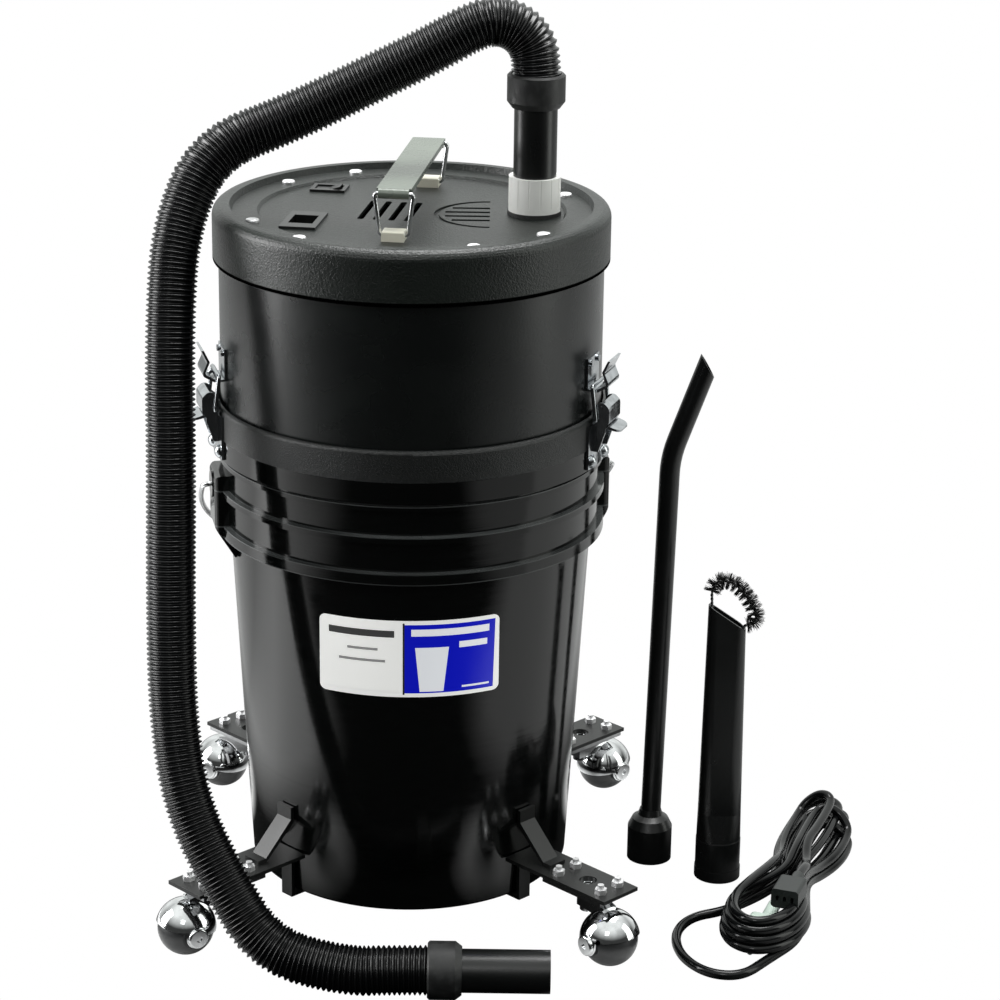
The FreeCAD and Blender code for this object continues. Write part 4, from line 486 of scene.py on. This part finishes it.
# ---------------------------------------------------------------- brush
# where the brush is, and its arch: each point's x from there and its height
BRUSH_AT = Vector((0.2543, -0.0085, 0.0))
BRUSH_ROUTE = (
    (-0.0122, 0.226),
    (-0.0126, 0.243),
    (-0.0132, 0.250),
    (-0.0080, 0.260),
    (0.0055, 0.2575),
    (0.0165, 0.2445),
    (0.0240, 0.2310),
    (0.0225, 0.2215),
    (0.0127, 0.2225),
    (0.0116, 0.208),
)
BRUSH_STEP = 0.0004
WIRE_R = 0.0007
WIRE_APART = 0.8        # how far each wire's middle stands off the line, in wire radii
WIRE_TURNS = 16
WIRE_SIDES = 8
BRISTLE_FROM = 0.22     # shares of the line between which the bristles stand
BRISTLE_TO = 0.86
BRISTLE_TURNS = 9
BRISTLES_PER_STEP = 9
BRISTLE_REACH = 0.0078
BRISTLE_SHORTEST = 0.8      # share of the reach
BRISTLE_FAN = 0.45      # how widely bristles turn away from the helix, in radians
BRISTLE_LEAN = 0.12     # how far they lean along the line, as a share of their length
BRISTLE_SHIFT = 0.0002      # and how far their roots are shifted along it
BRISTLE_ROOT_R = 0.00026
BRISTLE_TIP_R = 0.00014
BRISTLE_CORNERS = (0.0, 2.094, 4.189)       # angles of a bristle's three edges


def build_brush(wire, bristle):
    """Two wires twisted together along an arch, with a helix of tapered bristles held between them."""
    line, _ = even_line([BRUSH_AT + Vector((x, 0.0, z)) for x, z in BRUSH_ROUTE], BRUSH_STEP)
    first, second = side_frames(line)
    share = np.linspace(0.0, 1.0, len(line))
    for k in range(2):
        twist = 2 * math.pi * WIRE_TURNS * share + math.pi * k
        offset = np.cos(twist)[:, None] * first + np.sin(twist)[:, None] * second
        middle = line + WIRE_APART * WIRE_R * offset
        vertices, faces = tube_mesh(middle, np.full(len(line), WIRE_R), WIRE_SIDES)
        strand = new_mesh_object(f"brush_wire_{k}", vertices, faces, wire)
        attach(strand, "crevice_set")
    vertices = []
    faces = []
    for row in range(int(BRISTLE_FROM * len(line)), int(BRISTLE_TO * len(line))):
        helix = 2 * math.pi * BRISTLE_TURNS * share[row]
        for _ in range(BRISTLES_PER_STEP):
            turn = helix + random.choice((0.0, math.pi)) + random.gauss(0.0, BRISTLE_FAN)
            out = math.cos(turn) * first[row] + math.sin(turn) * second[row]
            along = np.cross(first[row], second[row])
            out = out + along * random.uniform(-BRISTLE_LEAN, BRISTLE_LEAN)
            side = np.cross(out, along)
            side /= np.linalg.norm(side)
            root = line[row] + along * random.uniform(-BRISTLE_SHIFT, BRISTLE_SHIFT)
            tip = root + out * BRISTLE_REACH * random.uniform(BRISTLE_SHORTEST, 1.0)
            base = len(vertices)
            for end, radius in ((root, BRISTLE_ROOT_R), (tip, BRISTLE_TIP_R)):
                for corner in BRISTLE_CORNERS:
                    rim = math.cos(corner) * side + math.sin(corner) * along
                    vertices.append((end + radius * rim).tolist())
            faces += [(base + k, base + (k + 1) % 3, base + 3 + (k + 1) % 3, base + 3 + k) for k in range(3)]
            faces.append((base + 3, base + 4, base + 5))
    bristles = new_mesh_object("brush_bristles", vertices, faces, bristle)
    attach(bristles, "crevice_set")
    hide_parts("brush")


# ---------------------------------------------------------------- power cord
CORD_R = 0.0038
CORD_STEP = 0.004       # spacing of the points that follow the cord
# the tied hank: its waist on the floor, its turn, and the directions along it and to its right
HANK_WAIST = Vector((0.312, -0.043, 0.0))
HANK_TURN = math.radians(70.2)
ALONG = Vector((math.cos(HANK_TURN), math.sin(HANK_TURN), 0.0))
ACROSS = Vector((math.sin(HANK_TURN), -math.cos(HANK_TURN), 0.0))
# its lower lobe: middle along the hank, half length, half width, and the angles of a strand's points
LOW_MIDDLE = -0.079
LOW_LONG = 0.050
LOW_WIDE = 0.032
LOW_ANGLES = (62, 92, 124, 156, 188, 220, 252, 282, 306)
# one line per strand round the lower lobe: inset, height
LOW_STRANDS = ((0.0075, 0.0325), (0.0035, 0.0262), (0.001, 0.0192), (0.0, 0.0118))
# how far from the waist a strand of the upper lobe starts to spread, and where it is at its full width
HIGH_NECK = 0.032
HIGH_SHOULDER = 0.062
NECK_RIGHT = 0.7        # width at the neck, as a share of the full width
NECK_LEFT = 0.75
HIGH_ANGLES = (8, 45, 90, 135, 172)     # angles of the points round its far end
# one line per strand round the upper lobe: right side, left side, far end, height on the right,
# at the far end and on the left
HIGH_STRANDS = (
    (0.006, -0.022, 0.118, 0.0345, 0.0375, 0.020),
    (0.0235, -0.006, 0.112, 0.012, 0.0285, 0.027),
    (0.010, -0.0265, 0.138, 0.021, 0.024, 0.012),
    (0.026, -0.001, 0.104, 0.005, 0.0165, 0.019),
    (0.0135, -0.018, 0.146, 0.0095, 0.0105, 0.0045),
    (0.0105, -0.0185, 0.124, 0.0045, 0.018, 0.012),
)
# where each of them crosses the waist, on its way up and on its way down: side, height
WAIST_RIGHT = (
    (0.0122, 0.029),
    (0.0128, 0.0205),
    (0.0042, 0.0195),
    (0.0125, 0.0120),
    (0.0045, 0.0085),
    (0.0042, 0.0042),
)
WAIST_LEFT = (
    (-0.0122, 0.0285),
    (-0.0042, 0.0205),
    (-0.0128, 0.0125),
    (-0.0042, 0.0115),
    (-0.0125, 0.0045),
    (-0.0042, 0.019),
)
# the loop that lies open on the floor in front of the hank
OPEN_LOOP = (
    (0.281, -0.066, 0.0065),
    (0.2545, -0.092, 0.008),
    (0.228, -0.096, 0.0045),
    (0.213, -0.124, 0.004),
    (0.216, -0.162, 0.004),
    (0.235, -0.190, 0.004),
    (0.262, -0.194, 0.0042),
    (0.284, -0.1655, 0.0042),
    (0.311, -0.132, 0.0042),
    (0.318, -0.092, 0.0042),
)
CORD_START = (0.31263, -0.08906, 0.038)
CORD_END = (0.29585, -0.0816, 0.0088)
CORD_STRAIGHT = 0.012       # the cord leaves the connector and the plug straight for this far
CORD_DIP_AT = 0.026     # and past the connector it dips
CORD_DIP = Vector((0, 0, 0.002))


def in_hank(along, across, height):
    """Point of the hank: distance along it from its waist, to its right, and above the floor."""
    spot = HANK_WAIST + along * ALONG + across * ACROSS
    return (spot.x, spot.y, height)


def lower_strand(inset, height):
    """One strand round the lower lobe, from its left side to its right."""
    points = []
    for angle in LOW_ANGLES:
        turn = math.radians(angle)
        along = LOW_MIDDLE + (LOW_LONG - inset) * math.cos(turn)
        across = -(LOW_WIDE - inset) * math.sin(turn)
        points.append(in_hank(along, across, height))
    return points


def upper_strand(right, left, end, z_right, z_end, z_left):
    """One strand round the upper lobe, from its right side to its left."""
    half = (right - left) / 2
    middle = (right + left) / 2
    bend = end - half
    points = [in_hank(HIGH_NECK, NECK_RIGHT * right, z_right), in_hank(HIGH_SHOULDER, right, z_right)]
    for angle in HIGH_ANGLES:
        turn = math.radians(angle)
        share = (1 - math.cos(turn)) / 2
        height = z_right + (z_left - z_right) * share + (z_end - (z_right + z_left) / 2) * math.sin(turn)
        points.append(in_hank(bend + half * math.sin(turn), middle + half * math.cos(turn), height))
    return points + [in_hank(HIGH_SHOULDER, left, z_left), in_hank(HIGH_NECK, NECK_LEFT * left, z_left)]


def cord_route():
    """The whole cord: out of the connector, round the tied hank and the open loop, and to the plug."""
    start = Vector(CORD_START)
    end = Vector(CORD_END)
    straight = start + CORD_STRAIGHT * ALONG
    dip = start + CORD_DIP_AT * ALONG - CORD_DIP
    points = [CORD_START, tuple(straight), tuple(dip)]
    low_runs = [lower_strand(*strand) for strand in LOW_STRANDS]
    low_runs.append(list(OPEN_LOOP))
    low_runs.append([tuple(end + CORD_STRAIGHT * ALONG), CORD_END])
    for strand, right, left, low_run in zip(HIGH_STRANDS, WAIST_RIGHT, WAIST_LEFT, low_runs):
        points.append(in_hank(0.0, *right))
        points += upper_strand(*strand)
        points.append(in_hank(0.0, *left))
        points += low_run
    return points


def build_power_cord(material):
    """The cord's strands in place of the CAD's hank and loop."""
    cord = nurbs("power_cord_strands", cord_route())
    cord.data.bevel_depth = CORD_R
    cord.data.bevel_resolution = 5
    cord.data.use_fill_caps = True
    cord.data.materials.append(material)
    bpy.context.scene.collection.objects.link(cord)
    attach(cord, "power_cord")
    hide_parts("cord_hank", "cord_loop")
    line, length = even_line(cord_route(), CORD_STEP)


# ---------------------------------------------------------------- paint the CAD nodes
def paint(material, *names):
    """Give the named CAD nodes a material."""
    for name in names:
        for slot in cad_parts[name].material_slots:
            slot.link = "OBJECT"
            slot.material = material


def corners(word):
    """Names of the four nodes of a kind, one at each corner of the dolly."""
    return [f"{word}_{end}_{side}" for end in ("front", "rear") for side in ("left", "right")]


def dress_frame():
    """Dolly, casters, bail, handle loops, latches and screws."""
    frame_black = moulded_plastic(
        "frame_paint", (0.004, 0.0045, 0.0043), rough=0.38, grain=400.0, depth=0.00006
    )
    ball_black = moulded_plastic("caster_ball", (0.03, 0.031, 0.032), rough=0.3)
    zinc = metal("zinc_plate", (0.80, 0.81, 0.82), rough=0.2, wave=0.00006)
    dull_zinc = metal("dull_zinc", (0.95, 0.95, 0.96), rough=0.5, wave=0.00003)
    latch_steel = metal("latch_steel", (0.50, 0.52, 0.54), rough=0.12, wave=0.00015)
    chrome = metal("chrome_plate", (0.82, 0.83, 0.84), rough=0.05, wave=0.0001)
    paint(frame_black, "dolly_arms", "dolly_hub")
    paint(ball_black, *corners("caster_wheel"))
    paint(dull_zinc, "dolly_bolts", "dolly_nuts", "lid_screws", "lid_nuts")
    paint(zinc, "pail_bail", "handle_loop_front", "handle_loop_rear")
    paint(latch_steel, "latch_bases", "latch_rivets", "latch_keepers")
    paint(latch_steel, "latch_lever_left", "latch_lever_right", "latch_loop_left", "latch_loop_right")
    paint(chrome, "caster_plates", *corners("caster_hood"))


def dress_canister():
    """Pail, band, gaskets, filter, motor, drum, lid, handle and label."""
    skirt_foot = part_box("head_lid")[0].z
    drum = moulded_plastic("drum_black", (0.006, 0.0072, 0.007), rough=0.28, grain=500.0, depth=0.00008)
    # painted shade: the drum turns black just under the foot of the lid's skirt
    change_above(drum, skirt_foot - PAINTED_SHADE_DOWN, PAINTED_SHADE_BLUR, PAINTED_SHADE_BLACK, PAINTED_SHADE_ROUGH, gloss=0.0)
    lid = pebbled_plastic("lid_textured", (0.006, 0.0085, 0.007), rough=0.36, pebble=620.0)
    # painted shade: the lid turns black at the foot of its skirt
    change_below(lid, skirt_foot + PAINTED_SHADE_UP, PAINTED_SHADE_BLUR, PAINTED_SHADE_BLACK, PAINTED_SHADE_ROUGH, gloss=0.0)
    band = pebbled_plastic("band_textured", (0.006, 0.0072, 0.007), rough=0.42, pebble=900.0)
    # painted shade: below that height the band turns to the pail's darker glossy black
    change_below(band, BAND_SHADE_HEIGHT, BAND_SHADE_BLUR, PAIL_BLACK, PAIL_ROUGH)
    gasket_black = rubber("gasket_rubber", (0.012, 0.012, 0.012))
    housing_black = moulded_plastic("housing_black", (0.008, 0.008, 0.008), rough=0.3)
    grip_steel = moulded_plastic("grip_steel", (0.13, 0.15, 0.125), rough=0.28, grain=300.0, depth=0.0002)
    paint(pail_plastic("pail_black", PAIL_BLACK), "pail")
    paint(drum, "head_drum")
    paint(lid, "head_lid")
    paint(band, "pail_adapter")
    paint(gasket_black, "pail_gasket", "head_gasket", "inlet_gasket", "filter_caps")
    paint(pleated_cloth("filter_cloth", (0.86, 0.85, 0.80)), "filter_media")
    paint(metal("motor_steel", (0.45, 0.46, 0.47), rough=0.35), "motor_frame", "motor_rotor")
    paint(metal("aluminium", (0.78, 0.78, 0.79), rough=0.3), "motor_plate", "fan_impeller")
    paint(housing_black, "fan_housing", "power_inlet", "switch_housing", "switch_rocker")
    paint(moulded_plastic("collar_cream", (0.88, 0.88, 0.85), rough=0.4), "inlet_collar")
    paint(moulded_plastic("clip_cream", (0.70, 0.68, 0.57), rough=0.35), "handle_clips")
    paint(grip_steel, "handle_grip")
    paint(label_film("label_film"), "pail_label")


def dress_tools():
    """Hose ends, wand, crevice tool, inlet pipe, plug and connector."""
    tool = moulded_plastic("tool_black", (0.005, 0.0055, 0.0055), rough=0.3, grain=500.0, depth=0.00006)
    paint(tool, "hose_tube", "hose_nozzle", "wand", "crevice_tool", "inlet_pipe")
    paint(rubber("cuff_rubber", (0.013, 0.0135, 0.0135), rough=0.5), "hose_cuffs")
    paint(moulded_plastic("plug_green", (0.62, 0.74, 0.66), rough=0.35), "cord_plug")
    paint(moulded_plastic("connector_black", (0.012, 0.015, 0.014), rough=0.4), "cord_connector")


# ---------------------------------------------------------------- studio
WHITE = (1.0, 1.0, 1.0)
FLOOR_HALF = 14.0
# painted pools of light on the floor beside the part: x where a patch starts and where it is full,
# how pale it gets, y where it starts and where it is full, and the share of it left behind the part
FLOOR_LIGHT_PATCHES = (
    (-0.22, -0.34, 1.0, -0.37, -0.2, 0.4),
    (-0.62, -0.85, 0.6, -1.2, -0.2, 0.75),
    (0.24, 0.36, 0.5, -0.47, -0.32, 1.0),
    (0.6, 0.8, 0.3, -1.4, -1.0, 1.0),
)
PATCH_FADE = (0.0, 0.25)        # y over which that share comes in
FLOOR_LIGHT_BEHIND = (0.14, 0.5, 0.0, 0.32)       # painted light on the floor behind the part: y where it starts and is full, how pale at each
CASTER_LIGHT_SPOT = (0.05, 0.09, 0.9, 0.0)        # painted pool of light round each caster wheel: two distances from it, how pale at each
FLOOR_SHADES = (0.012, 0.8)     # darkest and palest floor
# how bright the world is over a direction's z and y: from, to, and the brightness at each
WORLD_ABOVE = (0.25, 0.8, 0.05, 1.1)
WORLD_BEHIND = (0.25, 0.75, 0.05, 1.0)
WORLD_TINT = (0.97, 1.0, 0.98)
# softboxes: name, place, spot they point at, width, height, watts, colour
SOFTBOXES = (
    ("light_left", (-1.9, 0.0, 0.9), (0.0, 0.0, 0.3), 1.0, 1.6, 52.0, WHITE),
    ("light_right", (2.0, -0.3, 0.9), (0.0, 0.0, 0.3), 0.9, 1.8, 12.0, (0.97, 1.0, 0.95)),
    ("light_top", (0.2, 0.5, 2.4), (0.0, 0.0, 0.4), 1.6, 1.2, 55.0, WHITE),
    ("light_front", (-0.5, -2.6, 2.2), (0.0, 0.0, 0.2), 0.8, 0.8, 9.0, WHITE),
)
CAMERA_AT = (0.07082, -2.25258, 1.10151)
CAMERA_DOWN = math.radians(19.1)
CAMERA_ROLL = math.radians(0.81)
CAMERA_LENS = 108.0


def floor_shade(tree):
    """Painted light and shade on the floor: pale beside and behind the part and round the casters, dark
    elsewhere.
    """
    where = tree.nodes.new("ShaderNodeNewGeometry").outputs["Position"]
    east, north, _ = axes(tree, where)
    pale = span(tree, north, *FLOOR_LIGHT_BEHIND)
    for x_from, x_full, strength, y_from, y_full, left_behind in FLOOR_LIGHT_PATCHES:
        over_x = span(tree, east, x_from, x_full, 0.0, strength)
        patch = calc(tree, "MULTIPLY", over_x, span(tree, north, y_from, y_full))
        patch = calc(tree, "MULTIPLY", patch, span(tree, north, *PATCH_FADE, 1.0, left_behind))
        pale = calc(tree, "MAXIMUM", pale, patch)
    for name in corners("caster_wheel"):
        low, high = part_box(name)
        reach = tree.nodes.new("ShaderNodeVectorMath")
        reach.operation = "DISTANCE"
        tree.links.new(where, reach.inputs[0])
        reach.inputs[1].default_value = (low + high) / 2
        pale = calc(tree, "MAXIMUM", pale, span(tree, reach.outputs["Value"], *CASTER_LIGHT_SPOT))
    return span(tree, pale, 0.0, 1.0, *FLOOR_SHADES)


def floor_material():
    """Floor that is white to the camera and shaded to every other ray, as the part's gloss shows it."""
    material = bpy.data.materials.new("studio_floor")
    material.use_nodes = True
    tree = material.node_tree
    tree.nodes.clear()
    output = tree.nodes.new("ShaderNodeOutputMaterial")
    paper = tree.nodes.new("ShaderNodeBsdfDiffuse")
    tree.links.new(floor_shade(tree), paper.inputs["Color"])
    white = add_node(tree, "ShaderNodeEmission", Strength=1.0)
    white.inputs["Color"].default_value = (*WHITE, 1.0)
    light_path = tree.nodes.new("ShaderNodeLightPath")
    mix = tree.nodes.new("ShaderNodeMixShader")
    tree.links.new(light_path.outputs["Is Camera Ray"], mix.inputs["Fac"])
    tree.links.new(paper.outputs["BSDF"], mix.inputs[1])
    tree.links.new(white.outputs["Emission"], mix.inputs[2])
    tree.links.new(mix.outputs["Shader"], output.inputs["Surface"])
    return material


def build_floor():
    """Flat square floor under the part."""
    half = FLOOR_HALF
    floor = new_mesh_object(
        "studio_floor",
        [(-half, -half, 0.0), (half, -half, 0.0), (half, half, 0.0), (-half, half, 0.0)],
        [(0, 1, 2, 3)],
        floor_material(),
        smooth=False,
    )


def softbox(name, at, towards, width, height, power, colour):
    """Rectangular area light that points at a spot."""
    data = bpy.data.lights.new(name, "AREA")
    data.shape = "RECTANGLE"
    data.size = width
    data.size_y = height
    data.energy = power
    data.color = colour
    lamp = bpy.data.objects.new(name, data)
    lamp.location = at
    lamp.rotation_euler = (Vector(towards) - Vector(at)).to_track_quat("-Z", "Y").to_euler()
    bpy.context.scene.collection.objects.link(lamp)


def build_studio():
    """World that is bright above and behind, and white to the camera, with four softboxes."""
    world = bpy.data.worlds.new("studio")
    world.use_nodes = True
    tree = world.node_tree
    _, north, up = axes(tree, tree.nodes.new("ShaderNodeTexCoord").outputs["Generated"])
    above = span(tree, up, *WORLD_ABOVE)
    behind = span(tree, north, *WORLD_BEHIND)
    seen = tree.nodes.new("ShaderNodeLightPath").outputs["Is Camera Ray"]
    glow = calc(tree, "MAXIMUM", calc(tree, "MAXIMUM", above, behind), seen)
    tree.links.new(glow, tree.nodes["Background"].inputs["Strength"])
    tree.links.new(blended(tree, seen, WORLD_TINT, WHITE), tree.nodes["Background"].inputs["Color"])
    bpy.context.scene.world = world
    for row in SOFTBOXES:
        softbox(*row)
    bpy.context.scene.view_settings.view_transform = "Standard"


def build_camera():
    """Camera in front of the part that looks along +Y, tipped down, with a slight roll."""
    data = bpy.data.cameras.new("camera")
    data.lens = CAMERA_LENS
    data.sensor_width = 36.0
    camera = bpy.data.objects.new("camera", data)
    forward = Vector((0.0, math.cos(CAMERA_DOWN), -math.sin(CAMERA_DOWN)))
    up = Vector((0.0, math.sin(CAMERA_DOWN), math.cos(CAMERA_DOWN)))
    side = Vector((1.0, 0.0, 0.0))
    rolled_side = side * math.cos(CAMERA_ROLL) + up * math.sin(CAMERA_ROLL)
    rolled_up = up * math.cos(CAMERA_ROLL) - side * math.sin(CAMERA_ROLL)
    turn = Matrix((rolled_side, rolled_up, -forward)).transposed().to_4x4()
    camera.matrix_world = Matrix.Translation(CAMERA_AT) @ turn
    bpy.context.scene.collection.objects.link(camera)
    bpy.context.scene.camera = camera


# ---------------------------------------------------------------- scene
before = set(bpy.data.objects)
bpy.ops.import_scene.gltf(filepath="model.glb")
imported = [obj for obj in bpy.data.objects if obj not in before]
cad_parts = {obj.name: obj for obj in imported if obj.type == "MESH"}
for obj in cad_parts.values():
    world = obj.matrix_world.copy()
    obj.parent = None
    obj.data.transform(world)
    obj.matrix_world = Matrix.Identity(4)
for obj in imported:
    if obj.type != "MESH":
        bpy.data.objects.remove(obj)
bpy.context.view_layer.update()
random.seed(7)

dress_frame()
dress_canister()
dress_tools()
hose_black = moulded_plastic(
    "hose_black", (0.003, 0.0032, 0.0036), rough=0.24, grain=700.0, depth=0.000002, spread=0.01
)
brush_wire = metal("brush_wire", (0.12, 0.12, 0.12), rough=0.35)
bristle_black = moulded_plastic("bristle_black", (0.002, 0.002, 0.002), rough=0.7)
cord_black = moulded_plastic("cord_black", (0.0025, 0.0028, 0.003), rough=0.14, depth=0.00001, gloss=0.3)
build_hose(hose_black)
build_brush(brush_wire, bristle_black)
build_power_cord(cord_black)
build_floor()
build_studio()
build_camera()
